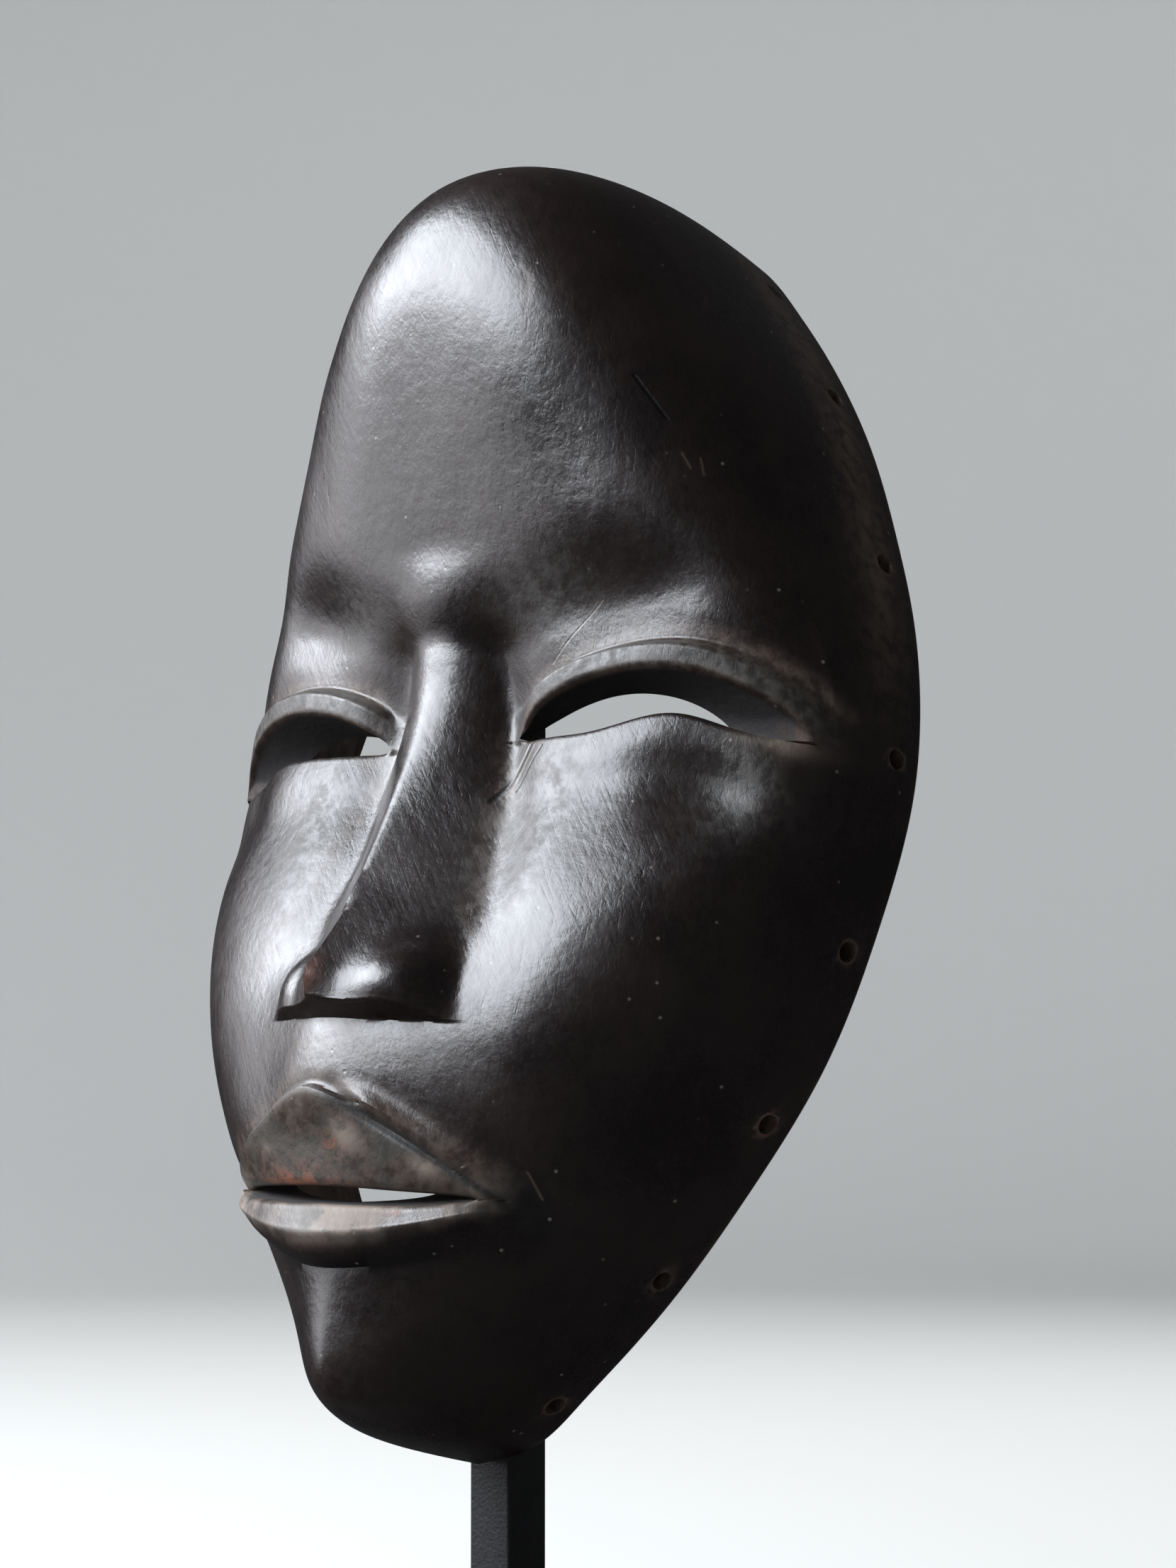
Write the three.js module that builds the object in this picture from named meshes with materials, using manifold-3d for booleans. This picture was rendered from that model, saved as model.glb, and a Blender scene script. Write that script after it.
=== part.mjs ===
// Dan mask on its post. Millimetres, +Z up, the face looks along -Y.
// The origin lies at the middle of the base's underside.
import * as THREE from 'three';
import { mergeVertices } from 'three/addons/utils/BufferGeometryUtils.js';
import Module from 'manifold-3d';

const wasm = await Module();
wasm.setup();

// Stand
const BASE_WIDTH = 110;
const BASE_DEPTH = 110;
const BASE_HEIGHT = 16;
const BASE_EDGE = 2;
const SOCKET_DEPTH = 10;
const SOCKET_GAP = 0.3;
const POST_WIDTH = 10;
const POST_GAP = 0.3;
const CHIN_ABOVE_BASE = 62;

// Mask: height of the rim, lean on the stand, thickness of the wall, lacing holes
const MASK_HEIGHT = 241.5;
const LEAN = 14.7 * Math.PI / 180;
const WALL = 6.5;
const HOLE_DIAMETER = 3.8;
const HOLE_SIDES = 8;
const HOLE_INSET = 6.5;
const HOLE_HEIGHTS = [12, 35, 63, 94, 129, 167, 201, 224];

// Rest: the pad on top of the post that carries the inside of the forehead
const REST_WIDTH = 34;
const REST_THICK = 8;

// Ribs from chin to crown, each lying across the face. Rim point (side, up), middle point
// (forward, up), then how full the rib runs at its side and at its front.
const RIBS = [
  [0, 0, 0, 0, 0.80, 0.58],
  [13.5, 4, 26, 0.2, 0.77, 0.36],
  [23, 12.5, 41, 5.5, 0.73, 0.20],
  [31.5, 21.5, 45, 15, 0.73, 0.15],
  [42.5, 34.5, 48, 30, 0.75, 0.26],
  [54.7, 52.5, 54, 50, 0.77, 0.45],
  [67, 75, 54.5, 76, 0.78, 0.60],
  [74, 100, 49.5, 100, 0.74, 0.71],
  [77, 126, 44, 127, 0.66, 0.79],
  [72.4, 152, 51.2, 149, 0.70, 0.73],
  [64.3, 172, 58.4, 168, 0.77, 0.67],
  [53.9, 192, 66.5, 191, 0.80, 0.64],
  [40.6, 210.5, 70, 211, 0.82, 0.62],
  [28.4, 224, 61.5, 229.5, 0.80, 0.60],
  [17, 233.7, 34, 238.3, 0.78, 0.58],
  [0, MASK_HEIGHT, 0, MASK_HEIGHT, 0.77, 0.56],
];

// Eye slits: inner and outer corner (side, up), arch of the upper edge, swell of the lower
const EYE_RIGHT = {
  inner: [16.8, 125.2], outer: [72.4, 127.0], arch: 10.2, rise: 1.0, drop: 0.72,
  dip: 1.1, swell: 4.1, swellAt: 0.60, swellWide: 0.20,
};
const EYE_LEFT = {
  inner: [16.2, 124.9], outer: [70.5, 121.5], arch: 8.5, rise: 0.8, drop: 0.7,
  dip: 1.1, swell: 1.5, swellAt: 0.50, swellWide: 0.25,
};
const EYE_BACK = { inner: 0.86, outer: 0.84, arch: 0.66, swell: 0.6 };
const LID_RAISE = 2.6;
const LID_BAND = 4.4;
const SOCKET_HOLLOW = 4.6;
const BROW_FILL = 3.5;
const CHEEK_HOLLOW = 3.2;
const CHEEK_RIDGE = 0.6;

// Mouth and lips
const MOUTH_UP = 38.1;
const MOUTH_CURL = 3.0;
const LIP_HALF = 33;
const LIP_UPPER = 17.6;
const LIP_LOWER = 10.4;
const LIP_CREST = 3.2;
const LIP_BORDER = 2.0;
const LIP_SWELL = 5.4;
const MOUTH_SLIT_HALF = 29.5;
const MOUTH_BACK_HALF = 21;
const MOUTH_SLIT_UP = 1.9;
const MOUTH_SLIT_DOWN = 1.5;

// Nose: ridge forward, half width and roundness, and the valley it stands in, by height
const NOSE_RIDGE = curve([
  [64, 65.2], [70, 65.6], [74, 66.2], [77, 65.9], [85, 62.2], [93, 58.4], [100, 55.8], [107, 53.4],
  [113, 51.6], [120, 49.8], [128, 48.6], [134, 48.4], [140, 49.2], [148, 51.4], [156, 54],
]);
const NOSE_HALF = curve([
  [64, 27.6], [77, 27.4], [84, 25.6], [93, 22.4], [100, 20.4], [107, 18.8], [115, 17.2],
  [124, 14.6], [134, 12.5], [148, 10],
]);
const NOSE_ROUND = curve([
  [64, 0.85], [84, 0.85], [96, 1.0], [110, 1.2], [122, 1.6], [134, 1.9], [150, 1.9],
]);
const NOSE_VALLEY = curve([
  [66, 0], [74, 0.4], [84, 1.2], [96, 2.6], [110, 3.4], [126, 4.2], [138, 3.2], [150, 0.8], [156, 0],
]);
const NOSE_SHIFT = 1.4;
const NOSE_LEFT = 0.62;
const NOSTRIL_LEFT = 0.80;
const NOSE_LEFT_STEEP = 0.35;
const NOSE_FOOT = 68.6;
const NOSE_UNDER = 3.8;
const NOSE_UNDER_SLOPE = 3.2;
const NOSTRIL_RAISE = 3.2;
const NOSTRIL_HOLLOW = 2.4;

// Grid: rows between the key lines from chin to crown, columns from the middle to the rim
const ROWS = { chin: 9, lowerLip: 4, upperLip: 4, muzzle: 2, noseUnder: 2, cheek: 9, lid: 3, brow: 17 };
const BACK_ROWS = { jaw: 4, cheek: 6, brow: 7 };
const COLUMNS = [3, 8, 7, 5];

// Natural cubic spline through values at the whole numbers.
function spline(y) {
  const n = y.length;
  const m = new Array(n).fill(0);
  const c = new Array(n).fill(0);
  const d = new Array(n).fill(0);
  for (let i = 1; i < n - 1; i++) {
    const w = 4 - c[i - 1];
    c[i] = 1 / w;
    d[i] = (6 * (y[i - 1] - 2 * y[i] + y[i + 1]) - d[i - 1]) / w;
  }
  for (let i = n - 2; i > 0; i--) m[i] = d[i] - c[i] * m[i + 1];
  return (t) => {
    const i = Math.min(Math.max(Math.floor(t), 0), n - 2);
    const s = t - i;
    const r = 1 - s;
    return y[i] * r + y[i + 1] * s + (r ** 3 - r) * m[i] / 6 + (s ** 3 - s) * m[i + 1] / 6;
  };
}

// Smooth curve through [place, value] points, level beyond its ends.
function curve(points) {
  const last = points.length - 1;
  const slope = points.map((p, i) => (i === 0 || i === last
    ? 0
    : (points[i + 1][1] - points[i - 1][1]) / (points[i + 1][0] - points[i - 1][0])));
  return (place) => {
    const x = Math.min(Math.max(place, points[0][0]), points[last][0]);
    let i = 0;
    while (i < last - 1 && x >= points[i + 1][0]) i++;
    const d = points[i + 1][0] - points[i][0];
    const s = (x - points[i][0]) / d;
    return points[i][1] * (1 + 2 * s) * (1 - s) ** 2 + slope[i] * d * s * (1 - s) ** 2
      + points[i + 1][1] * s * s * (3 - 2 * s) + slope[i + 1] * d * s * s * (s - 1);
  };
}

const clamp = (x, a, b) => Math.min(Math.max(x, a), b);
const hill = (x, c, w) => Math.exp(-(((x - c) / w) ** 2));

function step(a, b, x) {
  const t = clamp((x - a) / (b - a), 0, 1);
  return t * t * (3 - 2 * t);
}

function softMax(a, b, r) {
  const d = clamp(0.5 + 0.5 * (a - b) / r, 0, 1);
  return b * (1 - d) + a * d + r * d * (1 - d) * 0.5;
}

const RIB_CURVES = [0, 1, 2, 3, 4, 5].map((k) => spline(RIBS.map((rib) => rib[k])));

// Smooth form at u (-1 rim, 0 middle, 1 rim) and v (0 chin, 1 crown): side, forward, up.
function form(u, v) {
  const k = v * (RIBS.length - 1);
  const [rimX, rimZ, midH, midZ, side, front] = RIB_CURVES.map((f) => f(k));
  const t = 1 - Math.abs(u);
  const s = 1 - t;
  const across = s ** 3 + 3 * s * s * t + front * 3 * s * t * t;
  const ahead = side * 3 * s * s * t + 3 * s * t * t + t ** 3;
  return [Math.sign(u) * rimX * across, midH * ahead, rimZ + (midZ - rimZ) * ahead];
}

// Upper and lower edge of the eye slit at x, in front or at the back of the wall.
function eye(x, back = false) {
  const e = x > 0 ? EYE_RIGHT : EYE_LEFT;
  const share = back ? EYE_BACK : { inner: 1, outer: 1, arch: 1, swell: 1 };
  const start = e.inner[0] * share.inner;
  const end = e.outer[0] * share.outer;
  const s = (Math.abs(x) - start) / (end - start);
  const q = clamp(s, 0, 1);
  const chord = e.inner[1] + (e.outer[1] - e.inner[1]) * clamp(s, -0.3, 1.1);
  const top = e.rise / (e.rise + e.drop);
  const peak = top ** e.rise * (1 - top) ** e.drop;
  const inside = Math.sqrt(4 * q * (1 - q));
  const arch = share.arch * e.arch * q ** e.rise * (1 - q) ** e.drop / peak;
  const swell = share.swell * e.swell * hill(q, e.swellAt, e.swellWide) * Math.min(1, inside * 1.5);
  return { up: chord + arch, low: chord - e.dip * inside + swell, s, chord, start, end };
}

function mouthLine(x) {
  return MOUTH_UP + MOUTH_CURL * clamp(Math.abs(x) / LIP_HALF, 0, 1.2) ** 2.5;
}

function lipEdges(x) {
  const s = clamp(Math.abs(x) / LIP_HALF, 0, 1);
  const m = mouthLine(x);
  return { up: m + LIP_UPPER * (1 - s ** 1.5), low: m - LIP_LOWER * (1 - 0.74 * s ** 1.7) };
}

// Forward height of the carved front over the smooth form.
function carve(x, h, z, u) {
  const ax = Math.abs(x);
  const front = step(0.02, 0.30, 1 - Math.abs(u));
  let f = h;
  f -= front * SOCKET_HOLLOW * Math.exp(-(((ax - 37) / 18) ** 2) - ((z - 149 - 0.15 * (ax - 37)) / 8.8) ** 2);
  f += BROW_FILL * hill(x, 1, 10) * step(141.8, 144.8, z) * (1 - step(146, 159, z));
  f -= front * CHEEK_HOLLOW * Math.exp(-(((ax - 58.5) / 8.5) ** 2) - ((z - 115.5) / 8.5) ** 2);
  f += CHEEK_RIDGE * hill(ax, 70.9 - 0.26 * (122.9 - z), 3) * step(98, 106, z) * (1 - step(118, 126, z));
  f += 3.4 * hill(x, 0, 14) * step(46, 60, z) * (1 - step(72, 84, z));

  const e = eye(x);
  const fade = x < 0 ? 1 - 0.5 * step(0.6, 1, e.s) : 1;
  const over = fade * step(-0.06, 0.12, e.s) * step(0.16, 0.30, 1 - Math.abs(u));
  const above = z - e.up;
  const band = step(-1.4, 0.2, above) * (1 - step(LID_BAND - 0.6, LID_BAND + 2, above));
  f += over * (LID_RAISE * band - 0.7 * hill(above, LID_BAND + 3.2, 2.2));
  f += over * 0.8 * hill(z - e.low, -5, 4.5);

  f = carveNose(x, f, z);
  return carveLips(x, f, z);
}

function carveNose(x, h, z) {
  const low = 1 - step(80, 118, z);
  const dx = x - NOSE_SHIFT * low;
  const ax = Math.abs(dx);
  const left = dx < 0;
  const narrow = NOSTRIL_LEFT + (NOSE_LEFT - NOSTRIL_LEFT) * step(76, 86, z);
  const half = NOSE_HALF(z) * (left ? 1 - (1 - narrow) * (1 - step(100, 128, z)) : 1);
  const valley = h - NOSE_VALLEY(z) * (ax < half ? 1 : hill(ax, half, 9));
  if (z < 62 || ax > half * 1.05) return valley;
  const ridge = NOSE_RIDGE(z);
  const share = Math.min(ax / half, 1);
  const steep = left ? NOSE_LEFT_STEEP * (1 - step(84, 100, z)) : 0;
  let nose = ridge - (ridge - valley) * share ** (NOSE_ROUND(z) * (1 - steep));
  const wing = Math.exp(-(Math.abs((share - 0.60) / 0.23) ** 3) - Math.abs((z - 76) / 6.5) ** 2.6);
  nose += (left ? 0.5 : 1) * NOSTRIL_RAISE * wing;
  nose -= NOSTRIL_HOLLOW * Math.exp(-(((share - 0.86) / 0.14) ** 2) - ((z - 76) / 8) ** 2);
  const foot = NOSE_FOOT + 0.04 * Math.max(ax - 4, 0);
  const under = valley + (z - foot) * NOSE_UNDER_SLOPE;
  nose = -softMax(-nose, -under, 1.2);
  const shown = 1 - step(138, 156, z);
  return Math.max(valley, valley + (softMax(nose, valley, 0.8) - valley) * shown);
}

function carveLips(x, h, z) {
  const ax = Math.abs(x);
  const m = mouthLine(x);
  const lips = lipEdges(x);
  const share = clamp(ax / LIP_HALF, 0, 1);
  const pocket = 2.2 * Math.exp(-(((ax - 36) / 3.2) ** 2) - ((z - 42) / 5) ** 2);
  if (z > m) {
    const q = clamp((z - m) / Math.max(lips.up - m, 1.5), 0, 1);
    const past = z - lips.up;
    const side = step(4, 14, x);
    const crest = 0.5 + (LIP_CREST - 0.5 - 1.7 * side) * q ** 1.3;
    let upper = crest * (1 - step(-0.3, 1.1, past)) + side * LIP_BORDER * hill(past, 1.9, 1.7);
    upper -= (0.3 + 1.2 * side) * hill(past, -0.3, 0.9);
    return h + upper * (1 - share ** 6) - pocket;
  }
  const q = clamp((m - z) / Math.max(m - lips.low, 1.5), 0, 1);
  const past = lips.low - z;
  const rise = LIP_SWELL - 3.4 + 4.6 * q;
  const drop = LIP_SWELL + 1.2 - 1.6 * q;
  const lower = -softMax(-rise, -drop, 0.8) * (1 - step(-0.3, 1.2, past));
  return h + lower * (1 - share ** 12) ** 0.6 - pocket;
}

// The v at which the form at u crosses the height that a key line asks for.
function crossing(u, line) {
  let a = 0;
  let b = 1;
  for (let i = 0; i < 40; i++) {
    const v = (a + b) / 2;
    const [x, , z] = form(u, v);
    if (z < line(x)) a = v;
    else b = v;
  }
  return (a + b) / 2;
}

// The u at which the form, followed along a key line, reaches the side distance x.
function reach(x, line) {
  let a = 0;
  let b = 1;
  for (let i = 0; i < 30; i++) {
    const u = Math.sign(x) * (a + b) / 2;
    const [at] = form(u, crossing(u, line));
    if (Math.abs(at) < Math.abs(x)) a = Math.abs(u);
    else b = Math.abs(u);
  }
  return Math.sign(x) * (a + b) / 2;
}

// Point of the hollow behind the form: the wall's thickness in, ending in the rim's plane.
function hollow(u, v) {
  if (v < 1e-6) return [0, 0, WALL];
  if (v > 1 - 1e-6) return [0, 0, MASK_HEIGHT - WALL];
  const e = 1e-3;
  const w = clamp(v, 0.01, 0.99);
  const du = sub(form(Math.min(u + e, 1), w), form(Math.max(u - e, -1), w));
  const dv = sub(form(u, w + e), form(u, w - e));
  const n = cross(du, dv);
  const size = Math.hypot(...n);
  const p = form(u, v);
  const q = p.map((c, i) => c - WALL * n[i] / size);
  return [q[0], Math.abs(u) > 1 - 1e-6 ? 0 : Math.max(q[1], 0.12 * p[1]), q[2]];
}

const sub = (a, b) => a.map((c, i) => c - b[i]);
const cross = (a, b) => [
  a[2] * b[1] - a[1] * b[2],
  a[0] * b[2] - a[2] * b[0],
  a[1] * b[0] - a[0] * b[1],
];

// One face of the wall as bands of rows, split at the mouth and the eyes. Each key line is
// a height over x; a slit has two of them, which meet outside its corners.
function face(back) {
  const half = back ? MOUTH_BACK_HALF : MOUTH_SLIT_HALF;
  const gap = (x) => Math.sqrt(Math.max(1 - (x / half) ** 2, 0));
  const mouthLow = (x) => mouthLine(x) - MOUTH_SLIT_DOWN * gap(x);
  const mouthUp = (x) => mouthLine(x) + MOUTH_SLIT_UP * gap(x);
  const eyeMiddle = (x) => eye(x, back).chord;
  const eyeLow = (x) => eye(x, back).low;
  const eyeUp = (x) => eye(x, back).up;
  const under = (x) => Math.min(lipEdges(x).low, mouthLine(x) - 4);
  const over = (x) => Math.max(lipEdges(x).up, mouthLine(x) + 5);

  // Columns: the middle, the inner eye corners, the mouth's corners, the outer eye corners, the rim.
  const stops = [1, -1].map((side) => [
    0,
    reach(side * eye(side, back).start, eyeMiddle),
    reach(side * half, mouthLine),
    reach(side * eye(side, back).end, eyeMiddle),
    side,
  ]);
  const columns = [0];
  for (let k = 0; k < COLUMNS.length; k++) {
    for (let i = 1; i <= COLUMNS[k]; i++) {
      const at = stops.map((stop) => stop[k] + (stop[k + 1] - stop[k]) * i / COLUMNS[k]);
      columns.push(at[0]);
      columns.unshift(at[1]);
    }
  }
  const middle = (columns.length - 1) / 2;
  const mouthEnd = COLUMNS[0] + COLUMNS[1];
  const eyeStart = COLUMNS[0];
  const eyeEnd = mouthEnd + COLUMNS[2];
  const inMouth = (j) => Math.abs(j - middle) < mouthEnd;
  const inEye = (j) => Math.abs(j - middle) > eyeStart && Math.abs(j - middle) < eyeEnd;

  const bands = back
    ? [
      [['jaw', null], [null, mouthLow]],
      [['cheek', mouthUp], [null, eyeLow]],
      [['brow', eyeUp], [null, null]],
    ]
    : [
      [['chin', null], ['lowerLip', under], [null, mouthLow]],
      [
        ['upperLip', mouthUp], ['muzzle', over], ['noseUnder', () => NOSE_FOOT],
        ['cheek', () => NOSE_FOOT + NOSE_UNDER], [null, eyeLow],
      ],
      [['lid', eyeUp], ['brow', (x) => eyeUp(x) + LID_BAND + 0.4], [null, null]],
    ];
  const counts = back ? BACK_ROWS : ROWS;
  const height = (line, j, last) => {
    if (!line) return last ? 1 : 0;
    const shut = (line === mouthLow || line === mouthUp) && !inMouth(j);
    const closed = (line === eyeLow || line === eyeUp) && !inEye(j);
    if (shut) return crossing(columns[j], mouthLine);
    return crossing(columns[j], closed ? eyeMiddle : line);
  };
  const point = (u, v) => {
    if (back) return hollow(u, v);
    const [x, h, z] = form(u, v);
    return [x, Math.abs(u) === 1 ? 0 : carve(x, h, z, u), z];
  };
  const rows = bands.map((band) => {
    const lines = band.map(([, line], k) => columns.map((u, j) => height(line, j, k > 0)));
    for (let k = 1; k < lines.length; k++) lines[k] = lines[k].map((v, j) => Math.max(v, lines[k - 1][j]));
    const out = [];
    for (let k = 0; k + 1 < band.length; k++) {
      const count = counts[band[k][0]];
      for (let i = k === 0 ? 0 : 1; i <= count; i++) {
        const share = i / count;
        out.push(columns.map((u, j) => point(u, lines[k][j] * (1 - share) + lines[k + 1][j] * share)));
      }
    }
    return out;
  });
  return { rows, inMouth, inEye, count: columns.length };
}

// The whole wall: front, hollow, the slits' edges and the flat rim, as one closed solid.
function maskSolid(place) {
  const front = face(false);
  const back = face(true);
  const positions = [];
  const triangles = [];
  const known = new Map();
  const index = (p) => {
    const key = p.map((c) => Math.round(c * 1e4)).join();
    if (!known.has(key)) {
      known.set(key, positions.length / 3);
      positions.push(...place(p));
    }
    return known.get(key);
  };
  const add = (a, b, c) => {
    const t = [index(a), index(b), index(c)];
    if (t[0] !== t[1] && t[1] !== t[2] && t[0] !== t[2]) triangles.push(...t);
  };
  const sheet = (lower, upper, turned, use = () => true) => {
    for (let j = 0; j + 1 < lower.length; j++) {
      if (!use(j)) continue;
      const q = turned ? [lower[j + 1], lower[j], upper[j], upper[j + 1]]
        : [lower[j], lower[j + 1], upper[j + 1], upper[j]];
      add(q[0], q[1], q[2]);
      add(q[0], q[2], q[3]);
    }
  };
  for (const rows of front.rows) rows.slice(1).forEach((row, i) => sheet(rows[i], row, false));
  for (const rows of back.rows) rows.slice(1).forEach((row, i) => sheet(rows[i], row, true));

  // Edges of the slits
  const open = [front.inMouth, front.inEye];
  open.forEach((inside, k) => {
    const use = (j) => inside(j) || inside(j + 1);
    sheet(front.rows[k].at(-1), back.rows[k].at(-1), false, use);
    sheet(front.rows[k + 1][0], back.rows[k + 1][0], true, use);
  });

  // Flat rim, stitched between the two faces' last columns
  for (const side of [0, front.count - 1]) {
    const a = front.rows.flat().map((row) => row[side]);
    const b = back.rows.flat().map((row) => row[side]);
    let i = 0;
    let j = 0;
    while (i + 1 < a.length || j + 1 < b.length) {
      const ahead = j + 1 === b.length || (i + 1 < a.length && a[i + 1][2] <= b[j + 1][2]);
      const t = ahead ? [a[i], b[j], a[i + 1]] : [a[i], b[j], b[j + 1]];
      if (side === 0) add(t[0], t[2], t[1]);
      else add(...t);
      if (ahead) i++;
      else j++;
    }
  }
  return new wasm.Manifold(new wasm.Mesh({
    numProp: 3,
    vertProperties: new Float32Array(positions),
    triVerts: new Uint32Array(triangles),
  }));
}

// Mask frame (side, forward, up the mask's own axis) to the part's frame.
function placed(y, z) {
  return ([x, h, up]) => [
    x,
    y - h * Math.cos(LEAN) + up * Math.sin(LEAN),
    z + h * Math.sin(LEAN) + up * Math.cos(LEAN),
  ];
}

function block(width, depth, low, high, y = 0) {
  return wasm.Manifold.cube([width, depth, high - low]).translate([-width / 2, y - depth / 2, low]);
}

// Cutter for one lacing hole, square to the side wall.
function lacing(side, height, place) {
  const u = (share) => side * share;
  const v = crossing(side, () => height);
  let a = 0.5;
  let b = 1;
  for (let i = 0; i < 30; i++) {
    const m = (a + b) / 2;
    if (form(u(m), v)[1] > HOLE_INSET) a = m;
    else b = m;
  }
  const at = form(u(a), v);
  const e = 0.004;
  const along = sub(form(side, v + e), form(side, v - e));
  const out = new THREE.Vector3(side * along[2], 0, -side * along[0]).normalize();
  const up = new THREE.Vector3(0, 0, 1);
  const turn = new THREE.Matrix4().makeRotationFromQuaternion(
    new THREE.Quaternion().setFromUnitVectors(up, out),
  );
  const length = 4 * WALL;
  const drill = new THREE.CylinderGeometry(HOLE_DIAMETER / 2, HOLE_DIAMETER / 2, length, HOLE_SIDES);
  drill.rotateX(Math.PI / 2);
  drill.applyMatrix4(turn);
  drill.translate(...at);
  return solidOf(drill, place);
}

// Closed solid of a three.js geometry, its points moved by place.
function solidOf(geometry, place = (p) => p) {
  const bare = geometry.clone();
  bare.deleteAttribute('normal');
  bare.deleteAttribute('uv');
  const welded = mergeVertices(bare, 1e-4);
  const from = welded.attributes.position;
  const points = [];
  for (let i = 0; i < from.count; i++) points.push(...place([from.getX(i), from.getY(i), from.getZ(i)]));
  const order = Array.from(welded.index.array);
  const triVerts = [];
  for (let i = 0; i < order.length; i += 3) {
    const [a, b, c] = order.slice(i, i + 3);
    if (a !== b && b !== c && a !== c) triVerts.push(a, b, c);
  }
  const mesh = (list) => new wasm.Mesh({
    numProp: 3,
    vertProperties: new Float32Array(points),
    triVerts: new Uint32Array(list),
  });
  const solid = new wasm.Manifold(mesh(triVerts));
  if (solid.volume() > 0) return solid;
  const turned = [];
  for (let i = 0; i < triVerts.length; i += 3) turned.push(triVerts[i], triVerts[i + 2], triVerts[i + 1]);
  return new wasm.Manifold(mesh(turned));
}

function meshOf(solid, name, colour, roughness, metalness) {
  const m = solid.getMesh();
  const step3 = m.numProp;
  const positions = new Float32Array(m.vertProperties.length / step3 * 3);
  for (let i = 0; i < positions.length / 3; i++) {
    for (let k = 0; k < 3; k++) positions[3 * i + k] = m.vertProperties[step3 * i + k];
  }
  const geometry = new THREE.BufferGeometry();
  geometry.setAttribute('position', new THREE.BufferAttribute(positions, 3));
  geometry.setIndex(new THREE.BufferAttribute(new Uint32Array(m.triVerts), 1));
  geometry.computeVertexNormals();
  const material = new THREE.MeshStandardMaterial({ color: colour, roughness, metalness });
  const mesh = new THREE.Mesh(geometry, material);
  mesh.name = name;
  return mesh;
}

// The chin's rim stands just in front of the post; the hollow under the crown lies just over it.
const chinUp = BASE_HEIGHT + CHIN_ABOVE_BASE;
const loose = maskSolid(placed(0, chinUp));
const chinBack = loose.intersect(block(POST_WIDTH, 80, chinUp - 5, chinUp + 16)).boundingBox().max[1];
const maskY = -(chinBack + POST_GAP + POST_WIDTH / 2);
let mask = loose.translate([0, maskY, 0]);
const above = block(REST_WIDTH, POST_WIDTH, chinUp + MASK_HEIGHT / 2, chinUp + 1.2 * MASK_HEIGHT);
const ceiling = mask.intersect(above).boundingBox().min[2];
for (const height of HOLE_HEIGHTS) {
  for (const side of [-1, 1]) mask = mask.subtract(lacing(side, height, placed(maskY, chinUp)));
}

const restTop = ceiling - POST_GAP;
const rest = block(REST_WIDTH, POST_WIDTH, restTop - REST_THICK, restTop);
const post = block(POST_WIDTH, POST_WIDTH, BASE_HEIGHT - SOCKET_DEPTH + SOCKET_GAP, restTop - REST_THICK / 2);
const stand = post.add(rest);

const plate = new THREE.Shape();
const w = BASE_WIDTH / 2;
const d = BASE_DEPTH / 2;
plate.moveTo(-w, -d);
plate.lineTo(w, -d);
plate.lineTo(w, d);
plate.lineTo(-w, d);
plate.closePath();
const plateBody = new THREE.ExtrudeGeometry(plate, {
  depth: BASE_HEIGHT - BASE_EDGE,
  bevelEnabled: false,
});
const bevel = wasm.Manifold.hull([
  block(BASE_WIDTH, BASE_DEPTH, BASE_HEIGHT - BASE_EDGE - 0.01, BASE_HEIGHT - BASE_EDGE),
  block(BASE_WIDTH - 2 * BASE_EDGE, BASE_DEPTH - 2 * BASE_EDGE, BASE_HEIGHT - 0.01, BASE_HEIGHT),
]);
const hole = POST_WIDTH + 2 * SOCKET_GAP;
const socket = block(hole, hole, BASE_HEIGHT - SOCKET_DEPTH, BASE_HEIGHT + 1);
const foot = solidOf(plateBody).add(bevel).subtract(socket);

const group = new THREE.Group();
group.name = 'dan_mask';
group.add(meshOf(mask, 'mask', 0x2a211f, 0.38, 0));
group.add(meshOf(stand, 'stand_post', 0x26262a, 0.55, 0.6));
group.add(meshOf(foot, 'stand_base', 0x222226, 0.5, 0.6));

export default group;
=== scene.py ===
"""Dan mask on its post: the fine carving, the finishes, the light and the camera."""
import math

import bmesh
import bpy
import numpy as np
from mathutils import Matrix, Vector


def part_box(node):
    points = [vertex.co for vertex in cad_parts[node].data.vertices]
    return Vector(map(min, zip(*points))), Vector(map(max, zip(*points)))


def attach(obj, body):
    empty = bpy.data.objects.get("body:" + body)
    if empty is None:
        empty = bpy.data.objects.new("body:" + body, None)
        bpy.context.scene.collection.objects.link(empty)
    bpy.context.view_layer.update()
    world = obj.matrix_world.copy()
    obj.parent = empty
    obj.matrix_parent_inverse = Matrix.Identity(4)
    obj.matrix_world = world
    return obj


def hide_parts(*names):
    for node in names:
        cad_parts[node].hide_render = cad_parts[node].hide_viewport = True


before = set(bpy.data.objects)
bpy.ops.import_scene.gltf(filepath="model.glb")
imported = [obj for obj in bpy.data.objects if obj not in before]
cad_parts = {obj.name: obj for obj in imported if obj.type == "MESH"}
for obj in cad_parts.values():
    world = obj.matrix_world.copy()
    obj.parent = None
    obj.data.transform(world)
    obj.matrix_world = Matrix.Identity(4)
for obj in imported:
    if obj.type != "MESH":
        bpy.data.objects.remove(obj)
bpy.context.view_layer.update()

bl_info = {
    "name": "Dan mask",
    "version": (1, 0, 0),
    "blender": (4, 5, 0),
    "location": "View3D > Sidebar > Mask",
    "description": "Makes a carved face mask on a steel post, with its finishes and a plain stage",
    "category": "Object",
}

MM = 0.001

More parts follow.
